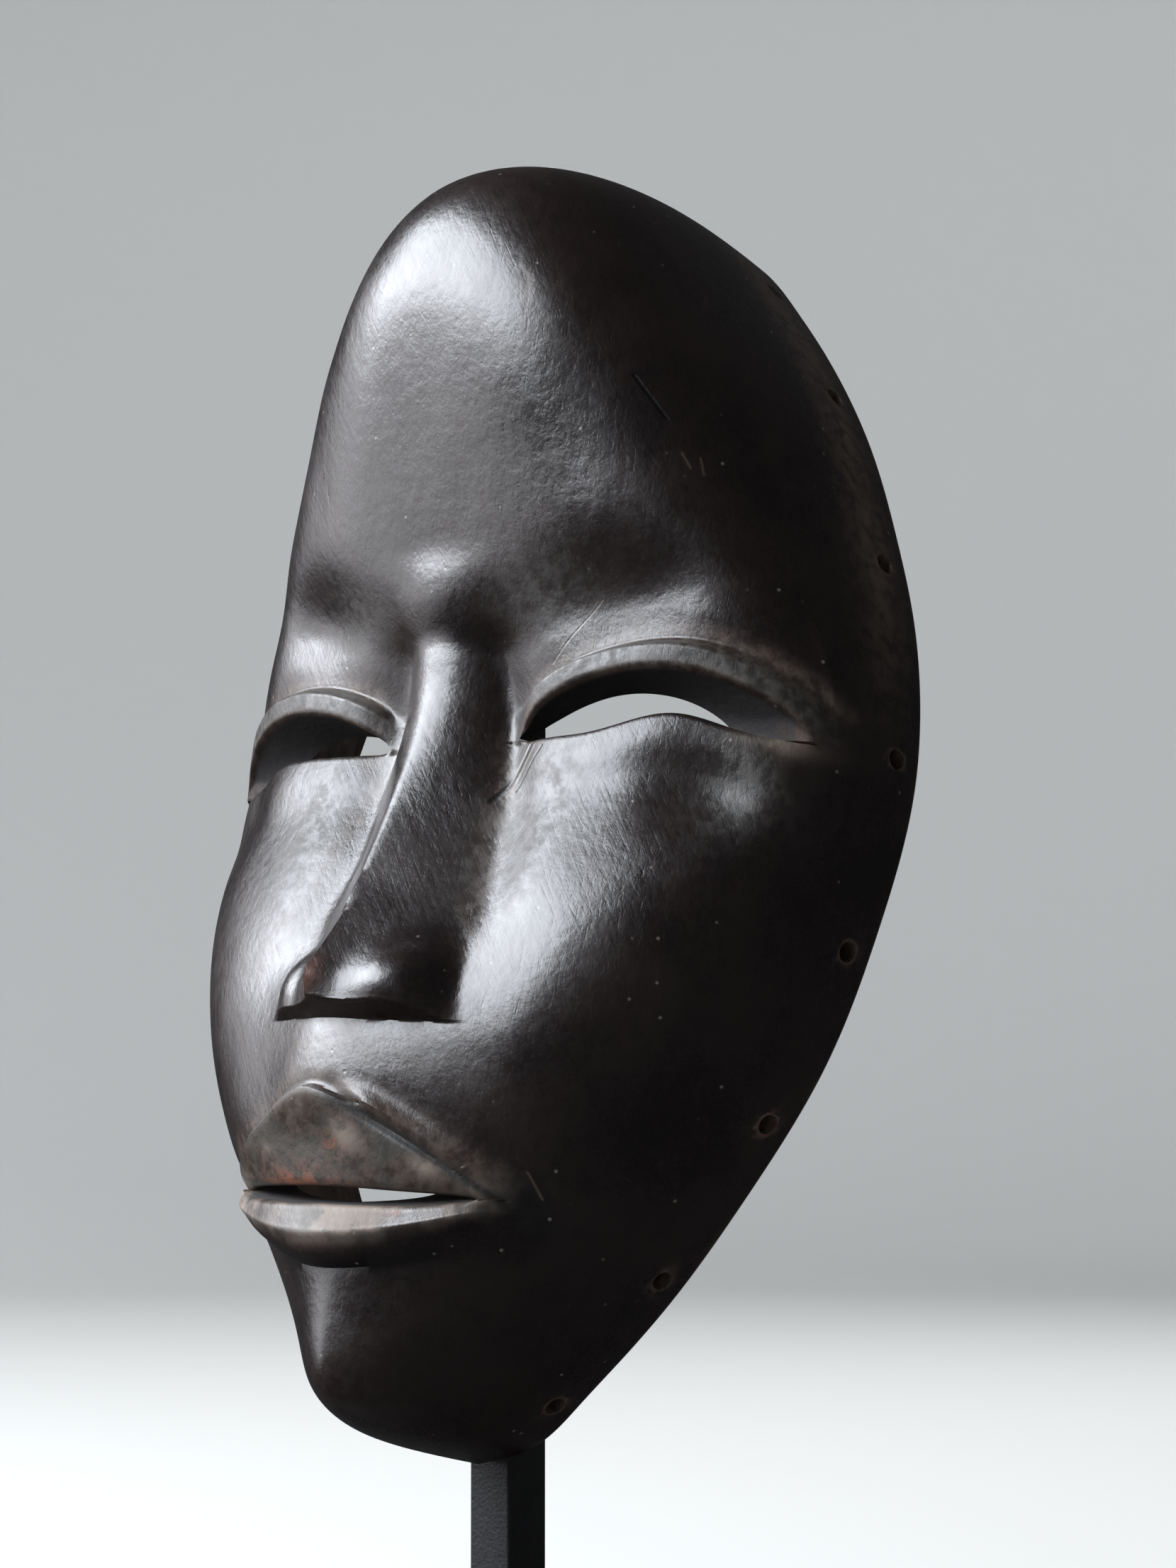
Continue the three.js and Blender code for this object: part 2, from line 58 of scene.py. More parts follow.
# Mask: millimetres, in the mask's own frame (side, forward of the rim, up its own axis)
MASK_HEIGHT = 241.5
LEAN = math.radians(14.7)
WALL = 6.5
HOLE_DIAMETER = 3.8
HOLE_SIDES = 28
HOLE_INSET = 6.5
HOLE_HEIGHTS = [12, 35, 63, 94, 129, 167, 201, 224]
MASK_LOW, MASK_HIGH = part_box("mask")
MASK_Z = MASK_LOW.z / MM
MASK_Y = MASK_HIGH.y / MM - MASK_HEIGHT * math.sin(LEAN)

# Ribs from chin to crown: rim point (side, up), middle point (forward, up), fullness at side and front
RIBS = [
    (0, 0, 0, 0, 0.80, 0.58),
    (13.5, 4, 26, 0.2, 0.77, 0.36),
    (23, 12.5, 41, 5.5, 0.73, 0.20),
    (31.5, 21.5, 45, 15, 0.73, 0.15),
    (42.5, 34.5, 48, 30, 0.75, 0.26),
    (54.7, 52.5, 54, 50, 0.77, 0.45),
    (67, 75, 54.5, 76, 0.78, 0.60),
    (74, 100, 49.5, 100, 0.74, 0.71),
    (77, 126, 44, 127, 0.66, 0.79),
    (72.4, 152, 51.2, 149, 0.70, 0.73),
    (64.3, 172, 58.4, 168, 0.77, 0.67),
    (53.9, 192, 66.5, 191, 0.80, 0.64),
    (40.6, 210.5, 70, 211, 0.82, 0.62),
    (28.4, 224, 61.5, 229.5, 0.80, 0.60),
    (17, 233.7, 34, 238.3, 0.78, 0.58),
    (0, MASK_HEIGHT, 0, MASK_HEIGHT, 0.77, 0.56),
]

# Eye slits, right and left
EYES = {
    "start": (16.8, 16.2), "start_up": (125.2, 124.9), "end": (72.4, 70.5), "end_up": (127.0, 121.5),
    "arch": (10.2, 8.5), "rise": (1.0, 0.8), "drop": (0.72, 0.7), "dip": (1.1, 1.1),
    "swell": (4.1, 1.5), "swell_at": (0.60, 0.50), "swell_wide": (0.20, 0.25),
}
EYE_BACK = {"start": 0.86, "end": 0.84, "arch": 0.66, "swell": 0.6}
LID_RAISE = 2.6
LID_BAND = 4.4

# Mouth and lips
MOUTH_UP = 38.1
MOUTH_CURL = 3.0
LIP_HALF = 33
LIP_UPPER = 17.6
LIP_LOWER = 10.4
LIP_CREST = 3.2
LIP_BORDER = 2.0
LIP_SWELL = 5.4
MOUTH_SLIT_HALF = 29.5
MOUTH_BACK_HALF = 21
MOUTH_SLIT_UP = 1.9
MOUTH_SLIT_DOWN = 1.5

# Nose
NOSE_SHIFT = 1.4
NOSE_LEFT = 0.62
NOSTRIL_LEFT = 0.80
NOSE_FOOT = 68.6
NOSE_UNDER = 3.8
NOSE_UNDER_SLOPE = 3.2
NOSE_LEFT_STEEP = 0.35
NOSTRIL_RAISE = 3.2
NOSTRIL_HOLLOW = 2.4
SOCKET_DEPTH = 4.6
BROW_FILL = 3.5
CHEEK_HOLLOW = 3.2
CHEEK_RIDGE = 0.2
MUZZLE_SWELL = 3.4
# Heights where each of these starts, is full, starts to fade and has gone
BROW_BAND = (141.8, 144.8, 146, 159)
RIDGE_BAND = (98, 106, 118, 126)
MUZZLE_BAND = (46, 60, 72, 84)

# Soft patches: middle (side, up), then half width and half height
CHEEK_DIP = (58.5, 115.5), (8.5, 8.5)
MOUTH_POCKET = (36, 42), (3.2, 5)
# Painted shade: where the dark pocket in each corner of the mouth is painted
SHADED_MOUTH_CORNER = (35.5, 41), (2.6, 4)
RED_PATCHES = ((4.5, 46.5), (2.2, 1.8)), ((17, 35.6), (0.9, 1.3))
NOSE_TIP = (1.0, 74.8), (1.9, 2.3)
BARE_PATCHES = (
    ((30.5, 41.0), (3.0, 2.6)), ((66.5, 125.8), (4.5, 2.0)), ((-26.5, 41.5), (4.0, 2.4)),
    ((-13, 47.5), (4.0, 3.2)), ((7, 48.5), (3.2, 2.4)), ((-3, 52.5), (3.0, 2.0)), ((22, 44.5), (3.0, 1.6)),
)
TEMPLE = [(67.5, 150.7), (69.2, 147.4), (70.5, 143.9), (71.9, 139.4), (72.8, 135.9), (73.2, 132.5)]
BESIDE_NOSE = [(15.6, 124), (18.8, 107), (22.4, 93), (27.5, 80)]

# Edges sharper than this are not smoothed over
CARVED_ANGLE = math.radians(48)
STEEL_ANGLE = math.radians(35)

# Grid: rows between the key lines from chin to crown, columns from the middle to the rim
ROWS = {
    "chin": 44, "lower_lip": 26, "edge": 5, "upper_lip": 26, "muzzle": 18, "nose_under": 14,
    "cheek": 56, "lid": 16, "brow": 80,
}
BACK_ROWS = {"jaw": 14, "cheek": 22, "brow": 30}
COLUMNS = [14, 34, 32, 24, 6]
SLIT_ROWS = (0.12, 0.5)
RIM_SHARE = 0.975
EDGE = 1.3


def spline(values):
    """Natural cubic spline through values at the whole numbers."""
    y = np.asarray(values, float)
    n = len(y)
    m, c, d = np.zeros(n), np.zeros(n), np.zeros(n)
    for i in range(1, n - 1):
        w = 4 - c[i - 1]
        c[i] = 1 / w
        d[i] = (6 * (y[i - 1] - 2 * y[i] + y[i + 1]) - d[i - 1]) / w
    for i in range(n - 2, 0, -1):
        m[i] = d[i] - c[i] * m[i + 1]

    def at(t):
        i = np.clip(np.floor(t).astype(int), 0, n - 2)
        s = t - i
        r = 1 - s
        return y[i] * r + y[i + 1] * s + (r**3 - r) * m[i] / 6 + (s**3 - s) * m[i + 1] / 6

    return at


def curve(points):
    """Smooth curve through (place, value) points, level beyond its ends."""
    px, py = np.array(points, float).T
    slope = np.zeros(len(px))
    slope[1:-1] = (py[2:] - py[:-2]) / (px[2:] - px[:-2])

    def at(place):
        x = np.clip(place, px[0], px[-1])
        i = np.clip(np.searchsorted(px, x, side="right") - 1, 0, len(px) - 2)
        d = px[i + 1] - px[i]
        s = (x - px[i]) / d
        return (py[i] * (1 + 2 * s) * (1 - s) ** 2 + slope[i] * d * s * (1 - s) ** 2
                + py[i + 1] * s * s * (3 - 2 * s) + slope[i + 1] * d * s * s * (s - 1))

    return at


NOSE_RIDGE = curve([
    (64, 65.2), (70, 65.6), (74, 66.2), (77, 65.9), (85, 62.2), (93, 58.4), (100, 55.8), (107, 53.4),
    (113, 51.6), (120, 49.8), (128, 48.6), (134, 48.4), (140, 49.2), (148, 51.4), (156, 54),
])
NOSE_HALF = curve([
    (64, 27.6), (77, 27.4), (84, 25.6), (93, 22.4), (100, 20.4), (107, 18.8), (115, 17.2),
    (124, 14.6), (134, 12.5), (148, 10),
])
NOSE_ROUND = curve([(64, 0.85), (84, 0.85), (96, 1.0), (110, 1.2), (122, 1.6), (134, 1.9), (150, 1.9)])
NOSE_VALLEY = curve([
    (66, 0), (74, 0.4), (84, 1.2), (96, 2.6), (110, 3.4), (126, 4.2), (138, 3.2), (150, 0.8), (156, 0),
])
RIB_CURVES = [spline([rib[k] for rib in RIBS]) for k in range(6)]


def hill(x, c, w):
    return np.exp(-(((x - c) / w) ** 2))


def spot(x, z, at, size):
    """A soft oval patch, 1 in its middle."""
    return np.exp(-(((x - at[0]) / size[0]) ** 2) - ((z - at[1]) / size[1]) ** 2)


def most(*masks):
    return np.maximum.reduce(masks)


def step(a, b, x):
    t = np.clip((x - a) / (b - a), 0, 1)
    return t * t * (3 - 2 * t)


def between(x, a, b, c, d):
    """Rises from 0 at a to 1 at b and falls again from c to d."""
    return step(a, b, x) * (1 - step(c, d, x))


def soft_max(a, b, r):
    d = np.clip(0.5 + 0.5 * (a - b) / r, 0, 1)
    return b * (1 - d) + a * d + r * d * (1 - d) * 0.5


def form(u, v):
    """Smooth form at u (-1 rim, 0 middle, 1 rim) and v (0 chin, 1 crown)."""
    rim_x, rim_z, mid_h, mid_z, side, front = (f(v * (len(RIBS) - 1)) for f in RIB_CURVES)
    t = 1 - np.abs(u)
    s = 1 - t
    across = s**3 + 3 * s * s * t + front * 3 * s * t * t
    ahead = side * 3 * s * s * t + 3 * s * t * t + t**3
    return np.sign(u) * rim_x * across, mid_h * ahead, rim_z + (mid_z - rim_z) * ahead


def eye(x, back=False):
    """Upper and lower edge of the eye slit at x, in front or at the back of the wall."""
    e = {key: np.where(x > 0, *pair) for key, pair in EYES.items()}
    share = EYE_BACK if back else {"start": 1, "end": 1, "arch": 1, "swell": 1}
    start = e["start"] * share["start"]
    end = e["end"] * share["end"]
    s = (np.abs(x) - start) / (end - start)
    q = np.clip(s, 0, 1)
    chord = e["start_up"] + (e["end_up"] - e["start_up"]) * np.clip(s, -0.3, 1.1)
    rise, drop = e["rise"], e["drop"]
    top = rise / (rise + drop)
    peak = top**rise * (1 - top) ** drop
    inside = np.sqrt(4 * q * (1 - q))
    arch = share["arch"] * e["arch"] * q**rise * (1 - q) ** drop / peak
    swell = share["swell"] * e["swell"] * hill(q, e["swell_at"], e["swell_wide"])
    low = chord - e["dip"] * inside + swell * np.minimum(1, inside * 1.5)
    return {"up": chord + arch, "low": low, "s": s, "chord": chord, "start": start, "end": end}


def mouth_line(x):
    return MOUTH_UP + MOUTH_CURL * np.clip(np.abs(x) / LIP_HALF, 0, 1.2) ** 2.5


def mouth_slit(x, half):
    """Lower and upper edge of a mouth slit that ends half its width from the middle."""
    gap = np.sqrt(np.maximum(1 - (x / half) ** 2, 0))
    return mouth_line(x) - MOUTH_SLIT_DOWN * gap, mouth_line(x) + MOUTH_SLIT_UP * gap


def lip_edges(x):
    s = np.clip(np.abs(x) / LIP_HALF, 0, 1)
    m = mouth_line(x)
    return m + LIP_UPPER * (1 - s**1.5), m - LIP_LOWER * (1 - 0.74 * s**1.7)


def carve(x, h, z, u):
    """Forward height of the carved front over the smooth form."""
    ax = np.abs(x)
    inner = 1 - np.abs(u)
    front = step(0.02, 0.30, inner)
    dish = np.exp(-(((ax - 37) / 18) ** 2) - ((z - 149 - 0.15 * (ax - 37)) / 8.8) ** 2)
    f = h - front * SOCKET_DEPTH * dish
    f = f + BROW_FILL * hill(x, 1, 12) * between(z, *BROW_BAND)
    f = f - front * CHEEK_HOLLOW * spot(ax, z, *CHEEK_DIP)
    fold = hill(ax, 70.9 - 0.26 * (122.9 - z), 3) * between(z, *RIDGE_BAND)
    f = f + CHEEK_RIDGE * fold
    f = f + MUZZLE_SWELL * hill(x, 0, 14) * between(z, *MUZZLE_BAND)
    e = eye(x)
    fade = np.where(x < 0, 1 - 0.5 * step(0.6, 1, e["s"]), 1)
    over = fade * step(-0.06, 0.12, e["s"]) * step(0.16, 0.30, inner)
    above = z - e["up"]
    band = between(above, -1.4, 0.2, LID_BAND - 0.6, LID_BAND + 2)
    f = f + over * (LID_RAISE * band - 0.7 * hill(above, LID_BAND + 3.2, 2.2))
    f = f + over * 0.8 * hill(z - e["low"], -5, 4.5)
    return carve_lips(x, carve_nose(x, f, z), z)


def carve_nose(x, h, z):
    low = 1 - step(80, 118, z)
    dx = x - NOSE_SHIFT * low
    ax = np.abs(dx)
    narrow = NOSTRIL_LEFT + (NOSE_LEFT - NOSTRIL_LEFT) * step(76, 86, z)
    half = NOSE_HALF(z) * np.where(dx < 0, 1 - (1 - narrow) * (1 - step(100, 128, z)), 1)
    valley = h - NOSE_VALLEY(z) * np.where(ax < half, 1, hill(ax, half, 9))
    ridge = NOSE_RIDGE(z)
    share = np.minimum(ax / half, 1)
    steep = NOSE_LEFT_STEEP * (1 - step(84, 100, z)) * (dx < 0)
    nose = ridge - (ridge - valley) * share ** (NOSE_ROUND(z) * (1 - steep))
    wing = np.exp(-(np.abs((share - 0.60) / 0.23) ** 3) - np.abs((z - 76) / 6.5) ** 2.6)
    nose = nose + np.where(dx < 0, 0.5, 1) * NOSTRIL_RAISE * wing
    nose = nose - NOSTRIL_HOLLOW * spot(share, z, (0.86, 76), (0.14, 8))
    foot = NOSE_FOOT + 0.04 * np.maximum(ax - 4, 0)
    under = valley + (z - foot) * NOSE_UNDER_SLOPE
    nose = -soft_max(-nose, -under, 1.2)
    shown = 1 - step(138, 156, z)
    out = np.maximum(valley, valley + (soft_max(nose, valley, 0.8) - valley) * shown)
    return np.where((z < 62) | (ax > half * 1.05), valley, out)


def carve_lips(x, h, z):
    ax = np.abs(x)
    m = mouth_line(x)
    top, bottom = lip_edges(x)
    share = np.clip(ax / LIP_HALF, 0, 1)
    pocket = 2.2 * spot(ax, z, *MOUTH_POCKET)
    q = np.clip((z - m) / np.maximum(top - m, 1.5), 0, 1)
    past = z - top
    side = step(4, 14, x)
    crest = 0.5 + (LIP_CREST - 0.5 - 1.7 * side) * q**1.3
    upper = crest * (1 - step(-0.3, 1.1, past)) + side * LIP_BORDER * hill(past, 1.9, 1.7)
    upper = upper - (0.3 + 1.2 * side) * hill(past, -0.3, 0.9)
    upper = upper * (1 - share**6)
    q = np.clip((m - z) / np.maximum(m - bottom, 1.5), 0, 1)
    past = bottom - z
    rise = LIP_SWELL - 3.4 + 4.6 * q
    drop = LIP_SWELL + 2.6 - 4.4 * q
    lower = -soft_max(-rise, -drop, 0.8) * (1 - step(-0.3, 1.2, past))
    lower = lower * (1 - share**12) ** 0.6
    return h + np.where(z > m, upper, lower) - pocket


def along(x, z, points):
    """Distance from a line through (side, up) points, and the share of its length."""
    p = np.array(points, float)
    best = np.full(np.shape(x), 1e9)
    share = np.zeros(np.shape(x))
    lengths = np.hypot(*np.diff(p, axis=0).T)
    starts = np.concatenate([[0], np.cumsum(lengths)])
    for k in range(len(p) - 1):
        d = p[k + 1] - p[k]
        t = np.clip(((x - p[k, 0]) * d[0] + (z - p[k, 1]) * d[1]) / (d @ d), 0, 1)
        away = np.hypot(x - p[k, 0] - t * d[0], z - p[k, 1] - t * d[1])
        nearer = away < best
        best = np.where(nearer, away, best)
        share = np.where(nearer, (starts[k] + t * lengths[k]) / starts[-1], share)
    return best, share


def fine(x, h, z, u, base):
    """Finer relief of the front: creases, thin ridges and the unevenness of handwork."""
    ax = np.abs(x)
    inner = 1 - np.abs(u)
    e = eye(x)
    open_eye = between(e["s"], 0.0, 0.06, 0.94, 1.0)
    for past in (z - e["up"], e["low"] - z):
        near = np.clip(1 - past / EDGE, 0, 1) * (past > -0.01)
        h = h - 0.9 * open_eye * (1 - np.sqrt(1 - near**2))
    low, up = mouth_slit(x, MOUTH_SLIT_HALF)
    open_mouth = step(0, 0.3, (up - low) / (MOUTH_SLIT_UP + MOUTH_SLIT_DOWN))
    for past in (z - up, low - z):
        near = np.clip(1 - past / EDGE, 0, 1) * (past > -0.01)
        h = h - 0.8 * open_mouth * (1 - np.sqrt(1 - near**2))
    lid = between(e["s"], 0.05, 0.16, 0.93, 1.02) * step(0.16, 0.30, inner)
    h = h - 0.45 * lid * hill(z - e["up"], LID_BAND + 1.5, 0.8)
    away, share = along(ax, z, TEMPLE)
    h = h + 0.8 * hill(away, 0, 0.9) * between(share, 0, 0.15, 0.85, 1)
    h = h + 0.9 * spot(x, z, (1.6, 74.6), (2.4, 2.6))
    h = h - 0.5 * spot(ax, z, (6.6, 76), (2.2, 5))
    return h + step(0, 9, base) * unevenness(x, z)


def unevenness(x, z):
    """Low swells that a blade and long handling leave."""
    rng = np.random.default_rng(11)
    out = np.zeros(np.shape(x))
    for size, length in ((0.10, 34), (0.05, 21), (0.012, 12)):
        for _ in range(5):
            turn = rng.uniform(0, math.pi)
            phase = rng.uniform(0, 2 * math.pi)
            wave = length * rng.uniform(0.8, 1.25) / (2 * math.pi)
            out = out + size * np.sin((x * math.cos(turn) + z * math.sin(turn) * 0.6) / wave + phase)
    return out


def crossing(u, line):
    """The v at which the form at u crosses the height that a key line asks for."""
    a = np.zeros(np.shape(u))
    b = np.ones(np.shape(u))
    for _ in range(40):
        v = (a + b) / 2
        x, h, z = form(u, v)
        below = z < line(x)
        a = np.where(below, v, a)
        b = np.where(below, b, v)
    return (a + b) / 2


def halve(a, b, short):
    """The two sides of the place between a and b where short(place) stops being true."""
    for _ in range(30):
        middle = (a + b) / 2
        if short(middle):
            a = middle
        else:
            b = middle
    return a, b


def reach(x, line):
    """The u at which the form, followed along a key line, reaches the side distance x."""
    def short(place):
        u = np.array([math.copysign(place, x)])
        return abs(form(u, crossing(u, line))[0][0]) < abs(x)

    return math.copysign(sum(halve(0.0, 1.0, short)) / 2, x)


def outward(side, v):
    """Outward direction of the rim's outline, across the mask's axis and along it."""
    e = 1e-3
    one = np.ones(np.shape(v)) * side
    w = np.clip(v, 0.004, 0.996)
    xa, ha, za = form(one, w - e)
    xb, hb, zb = form(one, w + e)
    tx, tz = xb - xa, zb - za
    size = np.hypot(tx, tz)
    return side * tz / size, -side * tx / size


def front_point(u, v):
    x, h, z = form(u, v)
    rim = (np.abs(u) > 1 - 1e-9) | (v < 1e-9) | (v > 1 - 1e-9)
    h = np.where(rim, 0, fine(x, carve(x, h, z, u), z, u, h))
    nx, nz = outward(np.sign(u) + (u == 0), v)
    shift = np.where(h < EDGE, EDGE - np.sqrt(np.maximum(EDGE**2 - (EDGE - h) ** 2, 0)), 0)
    shift = shift * between(v, 0.0, 0.01, 0.99, 1.0)
    return np.stack([x - nx * shift, h, z - nz * shift], -1)


def back_point(u, v):
    e = 1e-3
    w = np.clip(v, 0.01, 0.99)
    du = np.stack(form(np.minimum(u + e, 1), w), -1) - np.stack(form(np.maximum(u - e, -1), w), -1)
    dv = np.stack(form(u, w + e), -1) - np.stack(form(u, w - e), -1)
    n = np.cross(dv, du)
    n = n / np.linalg.norm(n, axis=-1, keepdims=True)
    p = np.stack(form(u, v), -1)
    q = p - WALL * n
    rim = np.abs(u) > 1 - 1e-6
    q[..., 1] = np.where(rim, 0, np.maximum(q[..., 1] + 0.5 * unevenness(p[..., 0] * 1.7, p[..., 2] * 1.7),
                                            0.12 * p[..., 1]))
    q[v < 1e-6] = (0, 0, WALL)
    q[v > 1 - 1e-6] = (0, 0, MASK_HEIGHT - WALL)
    return q


def face(back):
    """One face of the wall as bands of rows, split at the mouth and the eyes."""
    half = MOUTH_BACK_HALF if back else MOUTH_SLIT_HALF

    def slit_edge(key, above=0.0, behind=False):
        return lambda x: eye(x, behind)[key] + above

    lines = {
        "mouth_low": lambda x: mouth_slit(x, half)[0],
        "mouth_up": lambda x: mouth_slit(x, half)[1],
        "eye_low": slit_edge("low", 0.0, back),
        "eye_up": slit_edge("up", 0.0, back),
        "under": lambda x: np.minimum(lip_edges(x)[1], mouth_line(x) - 4),
        "over": lambda x: np.maximum(lip_edges(x)[0], mouth_line(x) + 5),
        "mouth_low_edge": lambda x: mouth_slit(x, half)[0] - EDGE,
        "mouth_up_edge": lambda x: mouth_slit(x, half)[1] + EDGE,
        "foot": lambda x: NOSE_FOOT + 0 * x,
        "nose": lambda x: NOSE_FOOT + NOSE_UNDER + 0 * x,
        "eye_low_edge": slit_edge("low", -EDGE),
        "eye_up_edge": slit_edge("up", EDGE),
        "lid": slit_edge("up", LID_BAND + LID_RAISE),
    }
    middle_line = slit_edge("chord", 0.0, back)
    stops = []
    for side in (1, -1):
        ends = eye(np.array([float(side)]), back)
        stops.append([
            0,
            reach(side * ends["start"][0], middle_line),
            reach(side * half, mouth_line),
            reach(side * ends["end"][0], middle_line),
            side * RIM_SHARE,
            side,
        ])
    columns = [0.0]
    for k, count in enumerate(COLUMNS):
        for i in range(1, count + 1):
            share = i / count
            columns.append(stops[0][k] + (stops[0][k + 1] - stops[0][k]) * share)
            columns.insert(0, stops[1][k] + (stops[1][k + 1] - stops[1][k]) * share)
    u = np.array(columns)
    place = np.abs(np.arange(len(u)) - (len(u) - 1) // 2)
    mouth_end = COLUMNS[0] + COLUMNS[1]
    in_mouth = place < mouth_end
    in_eye = (place > COLUMNS[0]) & (place < mouth_end + COLUMNS[2])

    if back:
        bands = [
            [("jaw", "chin"), (None, "mouth_low")],
            [("cheek", "mouth_up"), (None, "eye_low")],
            [("brow", "eye_up"), (None, "crown")],
        ]
    else:
        bands = [
            [("chin", "chin"), ("lower_lip", "under"), ("edge", "mouth_low_edge"), (None, "mouth_low")],
            [("edge", "mouth_up"), ("upper_lip", "mouth_up_edge"), ("muzzle", "over"),
             ("nose_under", "foot"), ("cheek", "nose"), ("edge", "eye_low_edge"), (None, "eye_low")],
            [("edge", "eye_up"), ("lid", "eye_up_edge"), ("brow", "lid"), (None, "crown")],
        ]
    counts = BACK_ROWS if back else ROWS

    def heights(name):
        if name in ("chin", "crown"):
            return np.full(len(u), float(name == "crown"))
        out = crossing(u, lines[name])
        if name in ("mouth_low", "mouth_up"):
            return np.where(in_mouth, out, crossing(u, mouth_line))
        if name in ("eye_low", "eye_up"):
            return np.where(in_eye, out, crossing(u, middle_line))
        return out

    point = back_point if back else front_point
    rows = []
    for band in bands:
        at = [heights(name) for _, name in band]
        for k in range(1, len(at)):
            at[k] = np.maximum(at[k], at[k - 1] + 1e-5)
        rows.append([])
        for k in range(len(band) - 1):
            count = counts[band[k][0]]
            for i in range(0 if k == 0 else 1, count + 1):
                share = i / count
                rows[-1].append(point(u, at[k] * (1 - share) + at[k + 1] * share))
    return rows, in_mouth, in_eye


def placed(points):
    """Mask frame in millimetres to the part's frame in metres."""
    x, h, up = points[..., 0], points[..., 1], points[..., 2]
    y = MASK_Y - h * math.cos(LEAN) + up * math.sin(LEAN)
    z = MASK_Z + h * math.sin(LEAN) + up * math.cos(LEAN)
    return np.stack([x, y, z], -1) * MM


def unplaced(points):
    """Part's frame in metres to the mask frame in millimetres."""
    x = points[..., 0] / MM
    y = points[..., 1] / MM - MASK_Y
    z = points[..., 2] / MM - MASK_Z
    forward = -y * math.cos(LEAN) + z * math.sin(LEAN)
    up = y * math.sin(LEAN) + z * math.cos(LEAN)
    return np.stack([x, forward, up], -1)


def wall_data():
    """Points, triangles and the share of front of the whole wall as one closed surface."""
    front, in_mouth, in_eye = face(False)
    back, _, _ = face(True)
    width = len(front[0][0])
    starts, rows, outside = {}, [], []
    for name, bands in (("front", front), ("back", back)):
        for b, band in enumerate(bands):
            for r, row in enumerate(band):
                starts[name, b, r] = width * len(rows)
                rows.append(row)
                outside.append(np.full(width, float(name == "front")))
    points, outside = np.concatenate(rows), np.concatenate(outside)
    quads = []

    def sheet(lower, upper, turned, use=None):
        j = np.arange(width - 1)
        if use is not None:
            j = j[use[:-1] | use[1:]]
        a, b, c, d = lower + j, lower + j + 1, upper + j + 1, upper + j
        quads.append(np.stack([b, a, d, c] if turned else [a, b, c, d], -1))

    for name, bands, turned in (("front", front, False), ("back", back, True)):
        for b, band in enumerate(bands):
            for r in range(len(band) - 1):
                sheet(starts[name, b, r], starts[name, b, r + 1], turned)
    for k, use in enumerate((in_mouth, in_eye)):
        below = starts["front", k, len(front[k]) - 1], starts["back", k, len(back[k]) - 1], False
        above = starts["front", k + 1, 0], starts["back", k + 1, 0], True
        for a, b, turned in (below, above):
            last = a
            for share in SLIT_ROWS:
                between = points[a:a + width] * (1 - share) + points[b:b + width] * share
                row = len(points)
                points = np.concatenate([points, between])
                outside = np.concatenate([outside, np.zeros(width)])
                sheet(last, row, turned, use)
                last = row
            sheet(last, b, turned, use)
    quads = np.concatenate(quads)

    stitches = []
    for column in (0, width - 1):
        a = [starts["front", b, r] + column for b, band in enumerate(front) for r in range(len(band))]
        b = [starts["back", b, r] + column for b, band in enumerate(back) for r in range(len(band))]
        i = j = 0
        while i + 1 < len(a) or j + 1 < len(b):
            ahead = j + 1 == len(b) or (i + 1 < len(a) and points[a[i + 1], 2] <= points[b[j + 1], 2])
            t = (a[i], b[j], a[i + 1]) if ahead else (a[i], b[j], b[j + 1])
            stitches.append((t[0], t[2], t[1]) if column == 0 else t)
            i, j = (i + 1, j) if ahead else (i, j + 1)
    triangles = np.concatenate([quads[:, [0, 1, 2]], quads[:, [0, 2, 3]], np.array(stitches)])

    keys, first, inverse = np.unique(np.round(points * 2000).astype(np.int64), axis=0,
                                     return_index=True, return_inverse=True)
    triangles = inverse.reshape(-1)[triangles]
    a, b, c = triangles.T
    triangles = triangles[(a != b) & (b != c) & (a != c)]
    used, triangles = np.unique(triangles, return_inverse=True)
    return points[first][used], triangles.reshape(-1, 3), outside[first][used]


def hole_axes():
    """Middle point and outward direction of each lacing hole, in the mask frame."""
    out = []
    for height in HOLE_HEIGHTS:
        for side in (-1, 1):
            v = crossing(np.array([float(side)]), lambda x: height + 0 * x)
            u, _ = halve(0.5, 1.0, lambda place: form(np.array([side * place]), v)[1][0] > HOLE_INSET)
            at = np.array([c[0] for c in form(np.array([side * u]), v)])
            nx, nz = outward(side, v)
            out.append((at, np.array([nx[0], 0, nz[0]])))
    return out


def mesh_from(name, points, triangles):
    mesh = bpy.data.meshes.new(name)
    mesh.from_pydata(points.tolist(), [], triangles.tolist())
    mesh.update()
    return mesh


def add_object(name, data):
    obj = bpy.data.objects.new(name, data)
    bpy.context.scene.collection.objects.link(obj)
    return obj


def add_piece(name, mesh, material, replaced):
    """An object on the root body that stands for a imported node."""
    obj = add_object(name, mesh)
    mesh.materials.clear()
    mesh.materials.append(material)
    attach(obj, "root")
    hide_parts(replaced)
    return obj


def hole_cutters():
    bm = bmesh.new()
    for at, out in hole_axes():
        turn = Vector((0, 0, 1)).rotation_difference(Vector(out)).to_matrix().to_4x4()
        made = bmesh.ops.create_cone(
            bm, cap_ends=True, segments=HOLE_SIDES, radius1=HOLE_DIAMETER / 2, radius2=HOLE_DIAMETER / 2,
            depth=4 * WALL, matrix=Matrix.Translation(Vector(at)) @ turn)
        for vert in made["verts"]:
            vert.co = Vector(placed(np.array(vert.co)))
    bmesh.ops.recalc_face_normals(bm, faces=bm.faces)
    mesh = bpy.data.meshes.new("hole_cutters")
    bm.to_mesh(mesh)
    bm.free()
    return mesh


